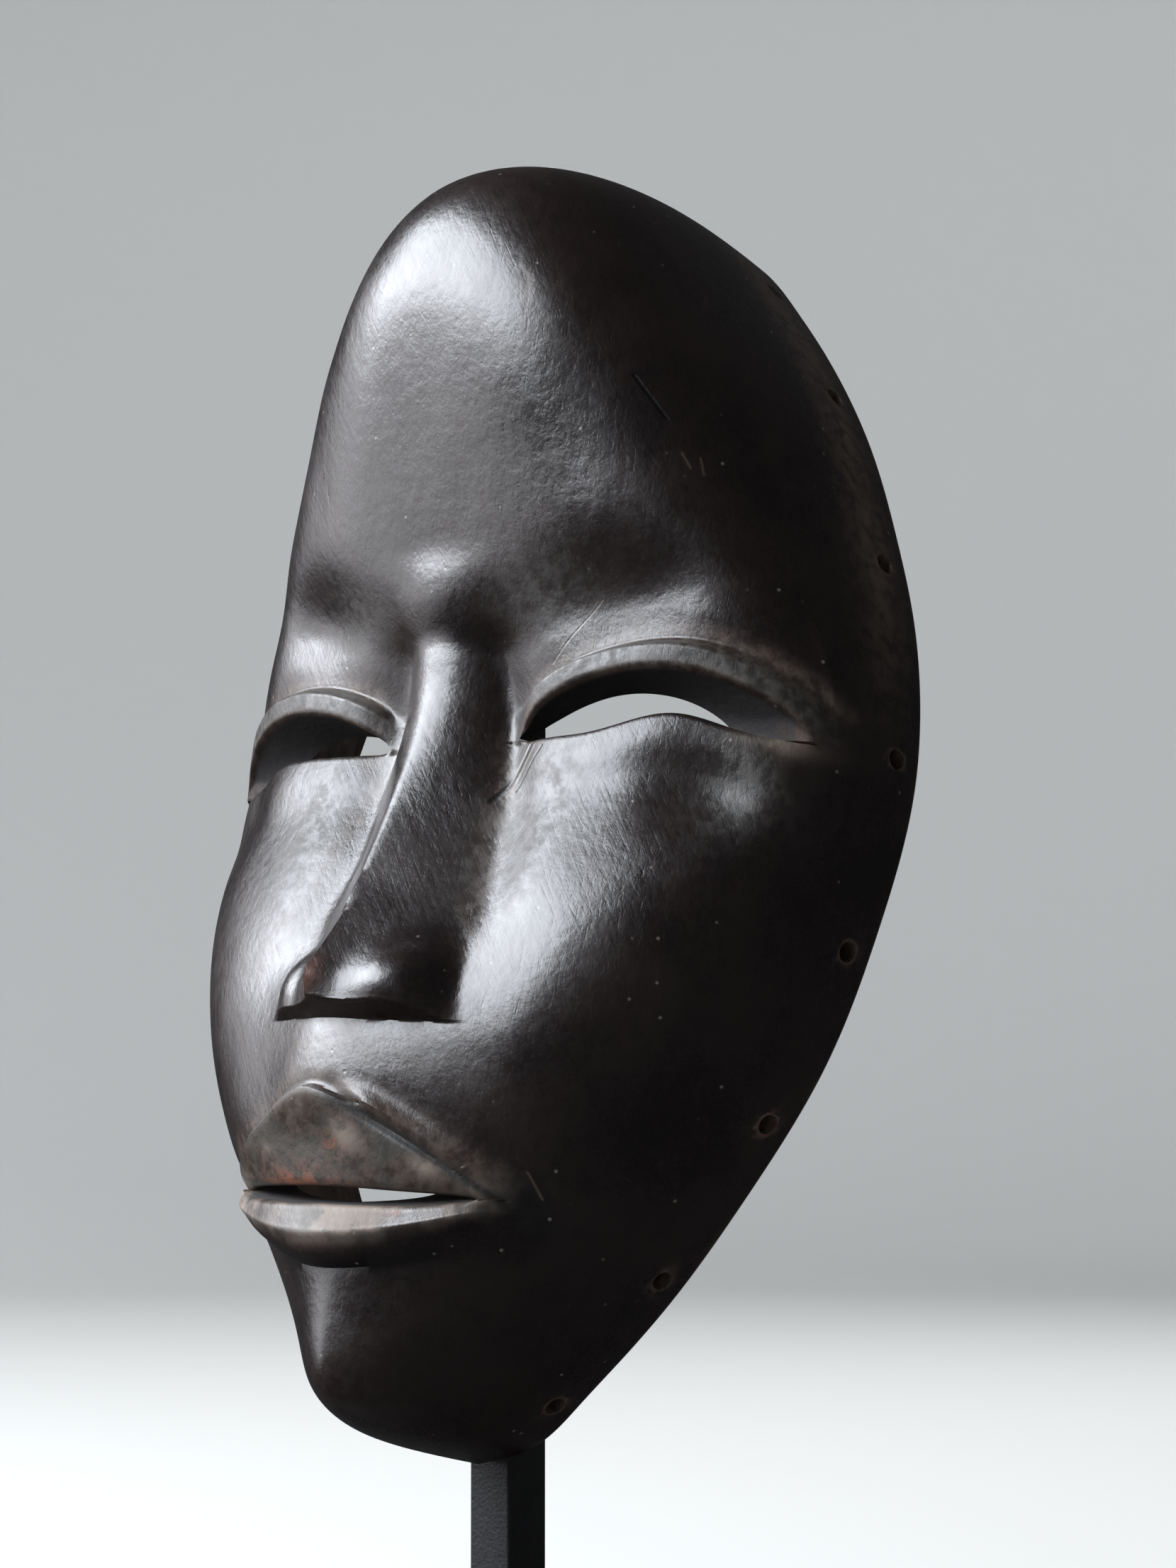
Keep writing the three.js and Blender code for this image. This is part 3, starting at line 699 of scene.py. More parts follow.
def cut_holes(mesh):
    """The wall with its lacing holes cut through."""
    wall, cutter = add_object("wall", mesh), add_object("cutter", hole_cutters())
    cut = wall.modifiers.new("holes", "BOOLEAN")
    cut.object = cutter
    cut.operation = "DIFFERENCE"
    cut.solver = "MANIFOLD"
    graph = bpy.context.evaluated_depsgraph_get()
    out = bpy.data.meshes.new_from_object(wall.evaluated_get(graph))
    for obj in (wall, cutter):
        bpy.data.objects.remove(obj)
    return out


def read(items, key, width, kind=np.float32):
    """One row of values for each item."""
    out = np.empty(len(items) * width, kind)
    items.foreach_get(key, out)
    return out.reshape(-1, width)


def coordinates(mesh):
    return read(mesh.vertices, "co", 3).astype(float)


def set_attribute(mesh, name, values):
    layer = mesh.attributes.get(name) or mesh.attributes.new(name, "FLOAT", "POINT")
    layer.data.foreach_set("value", np.ascontiguousarray(values, np.float32))


def bend(mesh, passes):
    """How far each point stands out of its neighbours, above 0 on an edge and below it in a groove."""
    co = coordinates(mesh) / MM
    normal = read(mesh.vertices, "normal", 3)
    a, b = read(mesh.edges, "vertices", 2, np.int64).T
    count = np.bincount(a, minlength=len(co)) + np.bincount(b, minlength=len(co))

    def spread(values):
        total = np.bincount(a, values[b], len(co)) + np.bincount(b, values[a], len(co))
        return total / np.maximum(count, 1)

    length = np.hypot(*(co[a] - co[b])[:, :2].T) + np.abs((co[a] - co[b])[:, 2])
    size = np.bincount(a, length, len(co)) + np.bincount(b, length, len(co))
    size = size / np.maximum(count, 1)
    away = co - np.stack([spread(co[:, k]) for k in range(3)], -1)
    out = np.einsum("ij,ij->i", away, normal) / np.maximum(size, 0.05) ** 2
    out = np.clip(out, -1.5, 1.5)
    for _ in range(passes):
        out = 0.5 * out + 0.5 * spread(out)
    return out


def paint(mesh):
    """Where the colour changes: lips, rubbed places, edges, grooves, hole rims, painted shade at the mouth
    and in the slits, and painted light near the rim.
    """
    p = unplaced(coordinates(mesh))
    x, h, z = p.T
    ax = np.abs(x)
    e = eye(x)
    curved = bend(mesh, 6)

    top, bottom = lip_edges(x)
    m = mouth_line(x)
    near_lips = 1 - step(LIP_HALF - 1, LIP_HALF + 1.5, ax)
    # Painted shade: a black line inside the upper lip's border, and a painted shadow under the lower lip
    painted_mouth_shade = hill(z - top, -0.7, 1.0) * step(1, 7, x) + 0.8 * hill(z - top, 0.4, 0.7) * (1 - step(-4, 0, x))
    shadow_under_lip = 0.8 * hill(z - bottom, -1.5, 0.8) * (1 - step(16, 24, x)) * near_lips
    q = (m - z) / np.maximum(m - bottom, 1.5)
    lower = between(q, -0.25, 0.0, 0.55, 0.95) * near_lips

    lid = between(e["s"], -0.02, 0.1, 0.98, 1.06)
    above = z - e["up"]
    beside, share = along(ax, z, BESIDE_NOSE)

    bore = np.zeros(len(x))
    for at, out in hole_axes():
        d = p - at
        away = np.linalg.norm(d - np.outer(d @ out, out), axis=1)
        rim = 1 - step(HOLE_DIAMETER / 2 + 0.05, HOLE_DIAMETER / 2 + 0.5, away)
        bore = most(bore, rim * (np.abs(d @ out) < 2 * WALL))

    back = eye(x, True)
    in_eye = between(back["s"], -0.1, 0.0, 1.0, 1.1)
    past_slit = np.maximum(np.maximum(z - back["up"], back["low"] - z), 0)
    in_slit = (e["s"] > -0.02) & (e["s"] < 1.02) & (z < e["up"] + 0.4) & (z > e["low"] - 0.4)
    corner = 0.75 * step(0.82, 0.97, e["s"]) * (1 - step(1.5, 4, z - e["low"]))

    masks = {
        "edge": np.clip(curved * 5, 0, 1),
        "groove": np.clip(-curved * 5, 0, 1),
        "lips": step(-0.6, 0.6, top - z) * step(-1.5, 0.0, z - m) * near_lips,
        # Painted shade of the mouth, with the dark pockets in its corners
        "painted_mouth_shade": most(painted_mouth_shade * near_lips, spot(ax, z, *SHADED_MOUTH_CORNER), shadow_under_lip),
        "bare": most(lower, *[spot(x, z, *patch) for patch in BARE_PATCHES]),
        "red": most(
            0.8 * spot(x, z - m, (-6, 2.2), (9, 2.4)),
            *[spot(x, z, *patch) for patch in RED_PATCHES]),
        "tip": spot(x, z, *NOSE_TIP) * step(56, 61, h),
        "wear_and_painted_light": most(
            0.8 * lid * hill(above, LID_BAND + 2.4, 2.0),
            0.5 * lid * hill(above, 0.6, 0.9),
            0.7 * spot(ax, z, (20, 126), (4, 5)),
            0.45 * hill(beside, 0, 2.6),
            0.75 * hill(z - top, 2.8, 3.0) * (1 - step(32, 38, ax)),
            0.35 * spot(x, z, (0, 63), (18, 6)),
            # Near the rim on both sides: partly a scuffed place, partly painted light that lifts the side
            # walls where little light falls
            0.8 * hill(h, 9, 6) * step(120, 170, z)),
        "dust": most(
            spot(ax, z, (28, 108), (9, 15)),
            0.6 * spot(ax, z, (24, 150), (9, 7)),
            0.9 * spot(x, z, (63, 116), (7, 7)),
            lid * between(above, 0.3, 1.2, LID_BAND, LID_BAND + 3)),
        "bore": bore,
        # Dark patina on the walls of the eye and mouth slits and on the back beside the eye slits, which is
        # also painted shade of these openings
        "opening_patina_and_shade": most(
            in_eye * hill(past_slit, 0, 2.5),
            in_slit * (1 - corner),
            hill(z - m, 0, 3.5) * (1 - step(26, 30, ax))),
    }
    for name, values in masks.items():
        set_attribute(mesh, name, values)


# Materials

def new_group(name, inputs, outputs):
    """A node group with value sockets ("v") and place sockets ("p"), its given values and its results."""
    kinds = {"v": "NodeSocketFloat", "p": "NodeSocketVector"}
    group = bpy.data.node_groups.new(name, "ShaderNodeTree")
    for label, kind, default in inputs:
        item = group.interface.new_socket(label, in_out="INPUT", socket_type=kinds[kind])
        if default is not None:
            item.default_value = default
    for label, kind in outputs:
        group.interface.new_socket(label, in_out="OUTPUT", socket_type=kinds[kind])
    return group, group.nodes.new("NodeGroupInput").outputs, group.nodes.new("NodeGroupOutput").inputs


def set_inputs(tree, node, values):
    for key, value in values.items():
        if isinstance(value, bpy.types.NodeSocket):
            tree.links.new(value, node.inputs[key])
        else:
            node.inputs[key].default_value = value


def add(tree, kind, values=None, **settings):
    """A shader node with its inputs and its settings."""
    node = tree.nodes.new("ShaderNode" + kind)
    for key, value in settings.items():
        setattr(node, key, value)
    set_inputs(tree, node, values or {})
    return node


def math_node(tree, operation, a, b=0.0, clamp=False):
    return add(tree, "Math", {0: a, 1: b}, operation=operation, use_clamp=clamp).outputs[0]


def mix_colour(tree, share, a, b):
    """Colour a turned to colour b by a share; each is a socket or red, green and blue."""
    a, b = (c if isinstance(c, bpy.types.NodeSocket) else (*c, 1) for c in (a, b))
    return add(tree, "Mix", {0: share, 6: a, 7: b}, data_type="RGBA").outputs[2]


def span(tree, value, low, high, to_low=0.0, to_high=1.0, smooth=True):
    """A value between two limits spread between two others."""
    limits = {0: value, 1: low, 2: high, 3: to_low, 4: to_high}
    kind = "SMOOTHSTEP" if smooth else "LINEAR"
    return add(tree, "MapRange", limits, interpolation_type=kind).outputs[0]


def noise(tree, place, scale, detail, roughness, distortion=0.0):
    return add(tree, "TexNoise", {
        "Vector": place, "Scale": scale, "Detail": detail, "Roughness": roughness,
        "Distortion": distortion}).outputs[0]


def grain_group():
    """Long streaks and short pores along Z, as a value and a height."""
    group, given, out = new_group(
        "Wood grain",
        [("Place", "p", None), ("Streaks", "v", 900.0), ("Pores", "v", 1400.0), ("Stretch", "v", 0.06)],
        [("Streak", "v"), ("Pore", "v")])
    stretch = add(group, "CombineXYZ", {0: 1.0, 1: 1.0, 2: given["Stretch"]})
    place = add(group, "VectorMath", {0: given["Place"], 1: stretch.outputs[0]},
                operation="MULTIPLY")
    streak = noise(group, place.outputs[0], given["Streaks"], 4.0, 0.6, distortion=0.4)
    pore = noise(group, place.outputs[0], given["Pores"], 2.0, 0.5)
    group.links.new(span(group, streak, 0.3, 0.7), out["Streak"])
    group.links.new(span(group, pore, 0.60, 0.72), out["Pore"])
    return group


def mottle_group():
    """Uneven patches at a large and a small size."""
    group, given, out = new_group(
        "Mottle", [("Place", "p", None), ("Size", "v", 40.0), ("Contrast", "v", 0.5)],
        [("Large", "v"), ("Small", "v")])
    large = noise(group, given["Place"], given["Size"], 5.0, 0.6)
    small = noise(group, given["Place"], math_node(group, "MULTIPLY", given["Size"], 9.0), 6.0, 0.65)
    half = math_node(group, "MULTIPLY", given["Contrast"], 0.4)
    low, high = (math_node(group, operation, 0.5, half) for operation in ("SUBTRACT", "ADD"))
    group.links.new(span(group, large, low, high), out["Large"])
    group.links.new(span(group, small, low, high), out["Small"])
    return group


def stroke_group():
    """A thin mark from one point to another, seen square to the mask's own front."""
    group, given, out = new_group(
        "Stroke",
        [("Place", "p", None), ("From", "p", None), ("To", "p", None), ("Width", "v", 0.0004)],
        [("Mark", "v")])

    def vector(operation, a, b):
        return add(group, "VectorMath", {0: a, 1: b}, operation=operation).outputs

    def flat(name):
        return vector("MULTIPLY", given[name], (1.0, 0.0, 1.0))[0]

    a = flat("From")
    d = vector("SUBTRACT", flat("To"), a)[0]
    q = vector("SUBTRACT", flat("Place"), a)[0]
    t = math_node(group, "DIVIDE", vector("DOT_PRODUCT", q, d)[1], vector("DOT_PRODUCT", d, d)[1], clamp=True)
    nearest = add(group, "VectorMath", {0: d, "Scale": t}, operation="SCALE").outputs[0]
    away = vector("DISTANCE", q, nearest)[1]
    half = math_node(group, "MULTIPLY", given["Width"], 0.5)
    group.links.new(span(group, away, half, 0.0), out["Mark"])
    return group


def speck_group():
    """Sparse small dots, each in its own cell."""
    group, given, out = new_group(
        "Specks",
        [("Place", "p", None), ("Scale", "v", 200.0), ("Size", "v", 0.1), ("Share", "v", 0.1)],
        [("Dot", "v")])
    cell = add(group, "TexVoronoi", {
        "Vector": given["Place"], "Scale": given["Scale"]})
    dot = span(group, cell.outputs["Distance"], given["Size"], 0.0)
    chosen = add(group, "SeparateColor", {"Color": cell.outputs["Color"]}).outputs[0]
    kept = math_node(group, "LESS_THAN", chosen, given["Share"])
    group.links.new(math_node(group, "MULTIPLY", dot, kept), out["Dot"])
    return group


def use(tree, group, values):
    return add(tree, "Group", values, node_tree=group)


def new_material(name):
    mat = bpy.data.materials.new(name)
    mat.use_nodes = True
    tree = mat.node_tree
    shader = tree.nodes["Principled BSDF"]
    place = add(tree, "TexCoord")
    return mat, tree, shader, place.outputs["Object"]


# Single marks: kind, from and to (side, up), width, strength
MARKS = [
    ("light", (34.8, 149.0), (25.0, 138.0), 0.6, 0.6),
    ("dark", (40.9, 188.0), (46.1, 181.0), 0.9, 1.0),
    ("light", (48.8, 175.2), (50.3, 172.6), 0.6, 0.5),
    ("light", (51.0, 175.0), (52.0, 171.8), 0.5, 0.45),
    ("light", (-32.5, 179.0), (-27.9, 162.8), 0.5, 0.4),
    ("light", (22.6, 205.0), (23.6, 200.0), 2.6, 0.55),
    ("light", (17.6, 191.6), (18.9, 190.0), 1.6, 0.30),
    ("dark", (20.6, 123.6), (15.8, 112.5), 1.7, 1.0),
    ("dark", (24.6, 123.0), (19.6, 115.0), 1.0, 0.9),
    ("light", (22.4, 123.4), (17.6, 113.6), 1.3, 1.0),
    ("light", (36.6, 46.2), (36.9, 42.6), 0.8, 0.6),
]
# Black of the painted shade at the mouth
MOUTH_SHADE_BLACK = (0.0012, 0.001, 0.001)
CUT_BLACK = (0.001, 0.001, 0.001)
HAIR_SLANT = math.radians(38)
BACK_ROUGHER = 0.35


def wood_material(look, groups):
    mat, tree, shader, place = new_material("Carved wood")
    y, z = MASK_Y * MM, MASK_Z * MM
    turn = add(tree, "Mapping", {"Vector": place, "Rotation": (LEAN, 0, 0), "Location": (
        0, -(y * math.cos(LEAN) - z * math.sin(LEAN)), -(y * math.sin(LEAN) + z * math.cos(LEAN)))})
    own = turn.outputs[0]

    def attribute(name):
        return add(tree, "Attribute", attribute_name=name).outputs["Fac"]

    def times(a, b):
        return math_node(tree, "MULTIPLY", a, b)

    def broken(name, texture, *limits):
        """A painted mask broken up by a texture."""
        return times(attribute(name), span(tree, texture, *limits))

    def summed(start, shares):
        for mask, amount in shares:
            start = math_node(tree, "ADD", start, times(mask, amount))
        return start

    grain = use(tree, groups["grain"], {"Place": own, "Streaks": 650.0, "Pores": 1700.0, "Stretch": 0.09})
    mottle = use(tree, groups["mottle"], {"Place": own, "Size": 42.0, "Contrast": 0.6})
    blotch = use(tree, groups["mottle"], {"Place": own, "Size": 120.0, "Contrast": 0.7}).outputs["Large"]
    slant = add(tree, "Mapping", {"Vector": own, "Rotation": (0, HAIR_SLANT, 0)}).outputs[0]
    hairs = use(tree, groups["grain"], {"Place": slant, "Streaks": 1100.0, "Pores": 1500.0, "Stretch": 0.05})
    large, small = mottle.outputs["Large"], mottle.outputs["Small"]
    streak, pore = grain.outputs["Streak"], grain.outputs["Pore"]
    cross, hair = hairs.outputs["Streak"], hairs.outputs["Pore"]

    dust = broken("dust", small, 0.2, 0.9, 0.3, 0.9)
    rubbed = broken("edge", small, 0.3, 0.9, 0.0, 0.45)
    # Brown of rubbed edges and wear; near the rim it is partly painted light
    brown = math_node(tree, "MAXIMUM", rubbed, broken("wear_and_painted_light", small, 0.15, 0.85, 0.3, 1.0), clamp=True)
    lips = broken("lips", small, 0.1, 0.8, 0.4, 1.0)
    bare = broken("bare", large, 0.25, 0.75, 0.15, 1.0)
    film = times(math_node(tree, "MAXIMUM", attribute("lips"), attribute("bare")),
                 span(tree, blotch, 0.45, 0.75, 0.0, 0.75))
    # Painted shade of the mouth: the line inside the upper lip's border, the corners and the shadow under the
    # lower lip
    painted_mouth_shade = broken("painted_mouth_shade", small, 0.0, 0.6, 0.55, 0.95)
    colour = mix_colour(tree, large, look.patina_dark, look.patina_light)
    for mask, tone in (
            (times(streak, 0.3), look.patina_dark), (dust, look.dust), (brown, look.wear_and_painted_light), (lips, look.lips),
            (bare, look.bare), (film, look.dust), (painted_mouth_shade, MOUTH_SHADE_BLACK),
            (broken("red", small, 0.25, 0.75), look.red),
            (broken("tip", small, 0.0, 0.6, 0.3, 0.9), look.tip),
            (broken("bore", large, 0.40, 0.70, 0.0, 0.5), look.bore)):
        colour = mix_colour(tree, mask, colour, tone)

    outside = attribute("front")
    raw = mix_colour(tree, streak, look.raw_dark, look.raw_light)
    # The slit walls take the dark patina instead of raw wood: partly patina, partly painted shade of the
    # openings
    raw = mix_colour(tree, attribute("opening_patina_and_shade"), raw, look.patina_dark)
    colour = mix_colour(tree, outside, raw, colour)

    specks = use(tree, groups["specks"], {"Place": own, "Scale": 300.0, "Size": 0.15, "Share": 0.2})
    specks = times(specks.outputs[0], outside)
    marks = {"light": 0.0, "dark": 0.0}
    for kind, a, b, width, depth in MARKS:
        mark = use(tree, groups["stroke"], {
            "Place": own, "From": (a[0] * MM, 0, a[1] * MM), "To": (b[0] * MM, 0, b[1] * MM),
            "Width": width * MM})
        marks[kind] = math_node(tree, "MAXIMUM", marks[kind], times(mark.outputs[0], depth))
    scratches, cuts = times(marks["light"], outside), times(marks["dark"], outside)
    # Grooves are drawn darker, towards the dark patina colour
    for mask, tone in ((times(attribute("groove"), 0.5), look.patina_dark), (specks, look.speck),
                       (scratches, look.wear_and_painted_light), (cuts, CUT_BLACK)):
        colour = mix_colour(tree, mask, colour, tone)

    rough = span(tree, large, 0.0, 1.0, look.roughness - 0.04, look.roughness + 0.06, smooth=False)
    rough = summed(rough, (
        (small, 0.04), (cross, 0.05), (lips, 0.14), (bare, 0.28), (brown, 0.12), (dust, 0.34), (painted_mouth_shade, 0.25)))
    inside = math_node(tree, "SUBTRACT", 1.0, outside)
    rough = math_node(tree, "ADD", rough, times(inside, BACK_ROUGHER), clamp=True)

    height = summed(times(noise(tree, own, 85.0, 1.0, 0.4), 0.22), (
        (streak, 0.022), (cross, 0.03), (small, 0.10), (film, -0.05), (pore, -0.025), (hair, -0.022),
        (specks, -0.10), (scratches, -0.10), (cuts, -0.35)))
    bump = add(tree, "Bump", {"Height": height, "Strength": 0.5, "Distance": 0.0009})
    set_inputs(tree, shader, {"Base Color": colour, "Roughness": rough, "Normal": bump.outputs[0]})
    return mat


def steel_material(name, colour, rough, groups, size):
    mat, tree, shader, place = new_material(name)
    mottle = use(tree, groups["mottle"], {"Place": place, "Size": size, "Contrast": 0.7})
    large, small = mottle.outputs["Large"], mottle.outputs["Small"]
    tone = mix_colour(tree, large, [c * 0.45 for c in colour], colour)
    tone = mix_colour(tree, math_node(tree, "MULTIPLY", small, 0.35), tone, [min(1, c * 1.9) for c in colour])
    bump = add(tree, "Bump", {"Height": small, "Strength": 0.25, "Distance": 0.0003})
    set_inputs(tree, shader, {
        "Base Color": tone, "Metallic": 0.15, "Normal": bump.outputs[0],
        "Roughness": span(tree, small, 0, 1, rough - 0.07, rough + 0.12, smooth=False)})
    return mat


def get_groups():
    """The shared node groups, made once."""
    makers = {
        "grain": ("Wood grain", grain_group), "mottle": ("Mottle", mottle_group),
        "stroke": ("Stroke", stroke_group), "specks": ("Specks", speck_group),
    }
    return {key: bpy.data.node_groups.get(name) or make() for key, (name, make) in makers.items()}


# Properties, operators and panel

def colour_property(name, description, default):
    return bpy.props.FloatVectorProperty(
        name=name, description=description, default=default, size=3, min=0, max=1, subtype="COLOR")


def number_property(name, description, default, **limits):
    return bpy.props.FloatProperty(name=name, description=description, default=default, **limits)


def power_property(name, description, default):
    return number_property(name, "Power of the " + description, default, min=0, unit="POWER")


class DanMaskLook(bpy.types.PropertyGroup):
    """Colours and polish of the carved wood."""
    patina_dark: colour_property("Patina, dark", "Darkest part of the patina", (0.0036, 0.0022, 0.0023))
    patina_light: colour_property("Patina, light", "Lightest part of the patina", (0.0095, 0.0052, 0.0043))
    # Colour of wear, which near the rim also serves as painted light
    wear_and_painted_light: colour_property("Worn wood", "Brown wood where the patina is rubbed thin", (0.052, 0.036, 0.027))
    dust: colour_property("Dust", "Dull film beside the nose and under the brows", (0.023, 0.021, 0.017))
    lips: colour_property("Upper lip", "Brown wood of the upper lip", (0.034, 0.0235, 0.017))
    bare: colour_property("Bare wood", "Tan wood of the lower lip and the corners", (0.115, 0.088, 0.069))
    red: colour_property("Red traces", "Traces of red pigment at the mouth", (0.11, 0.030, 0.012))
    tip: colour_property("Nose tip", "Bare, pinkish wood of the nose tip", (0.17, 0.080, 0.062))
    bore: colour_property("Hole rims", "Reddish wood in the lacing holes", (0.11, 0.045, 0.038))
    speck: colour_property("Specks", "Small pale dots in the patina", (0.08, 0.07, 0.06))
    raw_dark: colour_property("Hollow, dark", "Dark streaks of the unpolished back", (0.018, 0.011, 0.008))
    raw_light: colour_property("Hollow, light", "Light streaks of the unpolished back", (0.05, 0.03, 0.019))
    roughness: number_property("Roughness", "Middle roughness of the polished front", 0.235, min=0.1, max=1)


class DanMaskStand(bpy.types.PropertyGroup):
    """Finish of the post and the base."""
    post_colour: colour_property("Post", "Blackened steel of the post", (0.007, 0.0072, 0.0085))
    base_colour: colour_property("Base", "Blackened steel of the base", (0.013, 0.013, 0.015))
    edge: number_property(
        "Edge", "Radius of the softened edges", 0.0006, min=0.0001, max=0.002, unit="LENGTH")


class DanMaskStage(bpy.types.PropertyGroup):
    """Floor, light and camera."""
    floor: colour_property("Floor", "Plain pale floor and surround", (0.42, 0.425, 0.415))
    glow: number_property("Glow", "Light that the surround gives by itself", 0.15, min=0)
    key_power: power_property("Window light", "bright window", 90)
    wide_power: power_property("Wide light", "wide dim light round the window", 28)
    side_power: power_property("Side light", "dim light right of the window", 1.0)
    low_power: power_property("Low light", "low card that lights from below", 0.8)
    back_power: power_property("Back light", "light on the hollow side", 10)


class DANMASK_OT_mask(bpy.types.Operator):
    """Make the mask with its fine carving and its finish"""
    bl_idname = "danmask.mask"
    bl_label = "Mask"

    def execute(self, context):
        points, triangles, outside = wall_data()
        mesh = mesh_from("mask_carving", placed(points), triangles)
        set_attribute(mesh, "front", outside)
        mesh = cut_holes(mesh)
        if "front" not in mesh.attributes:
            raise RuntimeError("the cut wall has lost its front")
        paint(mesh)
        mesh.shade_smooth()
        mesh.set_sharp_from_angle(angle=CARVED_ANGLE)
        material = wood_material(context.scene.danmask_look, get_groups())
        add_piece("mask_carving", mesh, material, "mask")
        return {"FINISHED"}


class DANMASK_OT_stand(bpy.types.Operator):
    """Make the post and the base with softened edges"""
    bl_idname = "danmask.stand"
    bl_label = "Stand"

    def execute(self, context):
        look = context.scene.danmask_stand
        groups = get_groups()
        rows = (
            ("stand_post", "post_bar", "post_steel", look.post_colour, 0.42, 160.0),
            ("stand_base", "base_plate", "base_steel", look.base_colour, 0.40, 60.0),
        )
        for node, name, slot, colour, rough, size in rows:
            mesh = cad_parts[node].data.copy()
            mesh.name = name
            bm = bmesh.new()
            bm.from_mesh(mesh)
            bmesh.ops.remove_doubles(bm, verts=bm.verts, dist=1e-6)
            bmesh.ops.dissolve_limit(bm, angle_limit=math.radians(1), verts=bm.verts, edges=bm.edges)
            bmesh.ops.bevel(
                bm, geom=list(bm.edges), offset=look.edge, segments=3, affect="EDGES", profile=0.5,
                clamp_overlap=True)
            bm.to_mesh(mesh)
            bm.free()
            mesh.shade_smooth()
            mesh.set_sharp_from_angle(angle=STEEL_ANGLE)
            material = steel_material(name.replace("_", " ").capitalize(), tuple(colour), rough, groups, size)
            add_piece(name, mesh, material, node)
        return {"FINISHED"}


SURROUND = {"radius": 2.6, "bend_radius": 0.9, "height": 3.2, "sides": 96, "bend_steps": 16}


def surround_mesh(radius, bend_radius, height, sides, bend_steps):
    """A floor that curves up into a round wall."""
    profile = [(0.0, 0.0), (radius * 0.4, 0.0), (radius - bend_radius, 0.0)]
    for i in range(1, bend_steps + 1):
        a = math.pi / 2 * i / bend_steps
        profile.append((radius - bend_radius + bend_radius * math.sin(a), bend_radius * (1 - math.cos(a))))
    profile.append((radius, height))
    verts, faces = [(0.0, 0.0, 0.0)], []
    for r, z in profile[1:]:
        for k in range(sides):
            a = 2 * math.pi * k / sides
            verts.append((r * math.cos(a), r * math.sin(a), z))
    for k in range(sides):
        faces.append((0, 1 + k, 1 + (k + 1) % sides))
    for i in range(len(profile) - 2):
        for k in range(sides):
            a, b = 1 + i * sides + k, 1 + i * sides + (k + 1) % sides
            faces.append((a, a + sides, b + sides, b))
    mesh = bpy.data.meshes.new("surround")
    mesh.from_pydata(verts, [], faces)
    mesh.shade_smooth()
    return mesh


def put_facing(obj, aim, azimuth, elevation, distance):
    """Put an object round its aim, by degrees from the front and above the floor, and turn it there."""
    a, e = math.radians(azimuth), math.radians(elevation)
    way = Vector((math.sin(a) * math.cos(e), -math.cos(a) * math.cos(e), math.sin(e)))
    obj.location = aim + way * distance
    obj.rotation_euler = (-way).to_track_quat("-Z", "Y").to_euler()


# Lights: degrees round from the front and above the floor, distance, size, colour
LIGHTS = {
    "window": (-37, 33, 1.5, (1.8, 0.92), (0.89, 0.935, 1.0)),
    "wide": (-54, 14, 1.9, (2.3, 1.2), (0.95, 0.95, 1.0)),
    "side": (6, 22, 1.6, (0.9, 0.6), (0.94, 0.95, 1.0)),
    "low": (-48, -4, 0.85, (0.6, 0.25), (0.96, 0.95, 1.0)),
    "behind": (-160, 35, 1.3, (1.0, 1.0), (1.0, 0.98, 0.96)),
}
LOW_LIGHT_AIM = 0.12
WORLD_COLOUR = (0.95, 0.96, 1.0, 1)
WORLD_STRENGTH = 0.05


def area_light(name, aim, power):
    azimuth, elevation, distance, size, colour = LIGHTS[name]
    data = bpy.data.lights.new(name, "AREA")
    data.shape = "RECTANGLE"
    data.size, data.size_y = size
    data.energy = power
    data.color = colour
    obj = add_object(name, data)
    put_facing(obj, aim, azimuth, elevation, distance)
    obj.visible_camera = False
    return obj


CAMERA_AZIMUTH = 43
CAMERA_ELEVATION = -3.5
CAMERA_DISTANCE = 0.760
CAMERA_AIM = (0.0, MASK_Y * MM + 0.0288793, MASK_Z * MM + 0.1255090)
FOCAL_PIXELS = 5662
IMAGE_HEIGHT = 2212
SENSOR_HEIGHT = 36


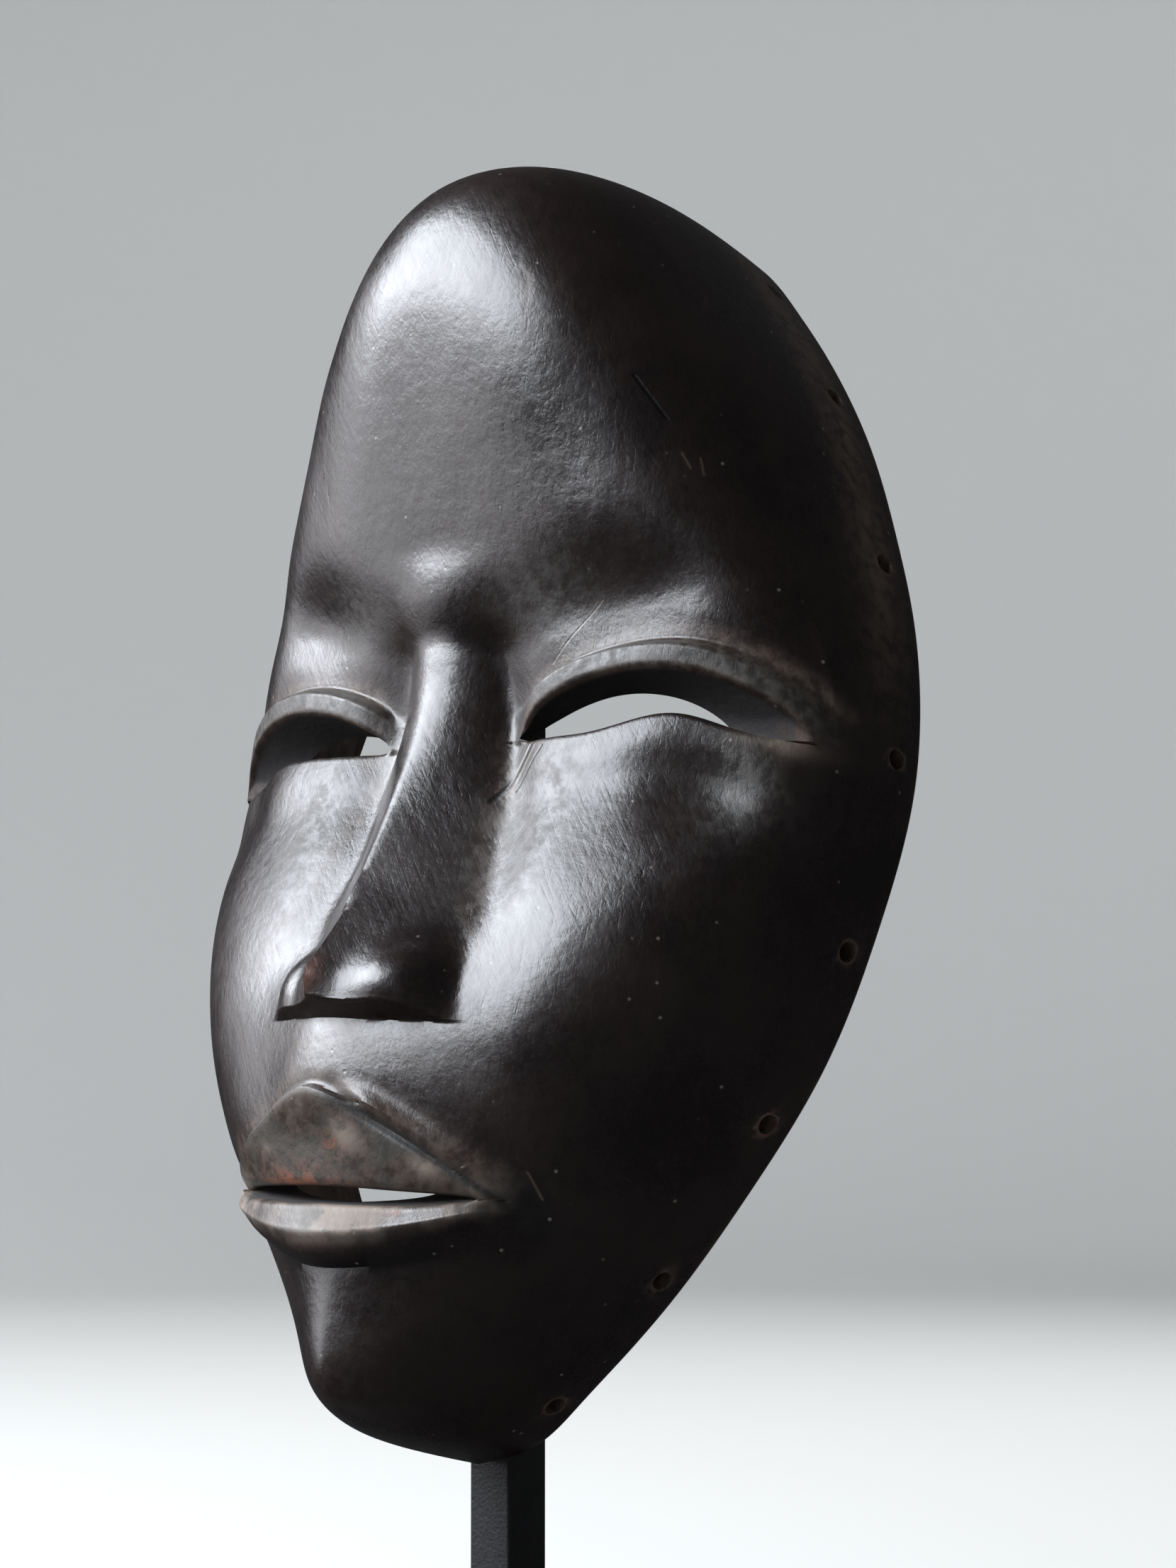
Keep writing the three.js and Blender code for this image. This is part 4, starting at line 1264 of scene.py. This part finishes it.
class DANMASK_OT_stage(bpy.types.Operator):
    """Make the floor, the light and the camera"""
    bl_idname = "danmask.stage"
    bl_label = "Stage"

    def execute(self, context):
        look = context.scene.danmask_stage
        scene = context.scene
        floor = add_object("floor", surround_mesh(**SURROUND))
        mat = bpy.data.materials.new("Floor")
        mat.use_nodes = True
        set_inputs(mat.node_tree, mat.node_tree.nodes["Principled BSDF"], {
            "Base Color": (*look.floor, 1), "Roughness": 0.9, "Specular IOR Level": 0.1,
            "Emission Color": (*look.floor, 1), "Emission Strength": look.glow})
        floor.data.materials.append(mat)
        floor.visible_glossy = False

        aim = Vector(CAMERA_AIM)
        area_light("window", aim, look.key_power)
        area_light("wide", aim, look.wide_power)
        area_light("side", aim, look.side_power)
        area_light("low", Vector((aim.x, aim.y, LOW_LIGHT_AIM)), look.low_power)
        area_light("behind", aim, look.back_power).visible_glossy = False
        world = bpy.data.worlds.new("Studio")
        world.use_nodes = True
        back = world.node_tree.nodes["Background"]
        back.inputs[0].default_value = WORLD_COLOUR
        back.inputs[1].default_value = WORLD_STRENGTH
        scene.world = world

        data = bpy.data.cameras.new("camera")
        data.sensor_fit = "VERTICAL"
        data.sensor_height = SENSOR_HEIGHT
        data.lens = SENSOR_HEIGHT * FOCAL_PIXELS / IMAGE_HEIGHT
        camera = add_object("camera", data)
        put_facing(camera, aim, CAMERA_AZIMUTH, CAMERA_ELEVATION, CAMERA_DISTANCE)
        scene.camera = camera
        scene.view_settings.view_transform = "Standard"
        return {"FINISHED"}


class DANMASK_PT_panel(bpy.types.Panel):
    """Sizes, colours and makers of the mask"""
    bl_idname = "DANMASK_PT_panel"
    bl_label = "Dan mask"
    bl_space_type = "VIEW_3D"
    bl_region_type = "UI"
    bl_category = "Mask"

    def draw(self, context):
        layout = self.layout
        for group in (context.scene.danmask_look, context.scene.danmask_stand, context.scene.danmask_stage):
            box = layout.box()
            for key in group.bl_rna.properties.keys():
                if key not in ("rna_type", "name"):
                    box.prop(group, key)
        for operator in (DANMASK_OT_mask, DANMASK_OT_stand, DANMASK_OT_stage):
            layout.operator(operator.bl_idname)


CLASSES = (
    DanMaskLook, DanMaskStand, DanMaskStage, DANMASK_OT_mask, DANMASK_OT_stand, DANMASK_OT_stage,
    DANMASK_PT_panel,
)
GROUPS = {"danmask_look": DanMaskLook, "danmask_stand": DanMaskStand, "danmask_stage": DanMaskStage}


def register():
    for cls in CLASSES:
        bpy.utils.register_class(cls)
    for name, group in GROUPS.items():
        setattr(bpy.types.Scene, name, bpy.props.PointerProperty(type=group))


def unregister():
    for name in GROUPS:
        delattr(bpy.types.Scene, name)
    for cls in reversed(CLASSES):
        bpy.utils.unregister_class(cls)


def main():
    register()
    bpy.ops.danmask.stage()
    bpy.ops.danmask.stand()
    bpy.ops.danmask.mask()


if __name__ == "__main__":
    main()
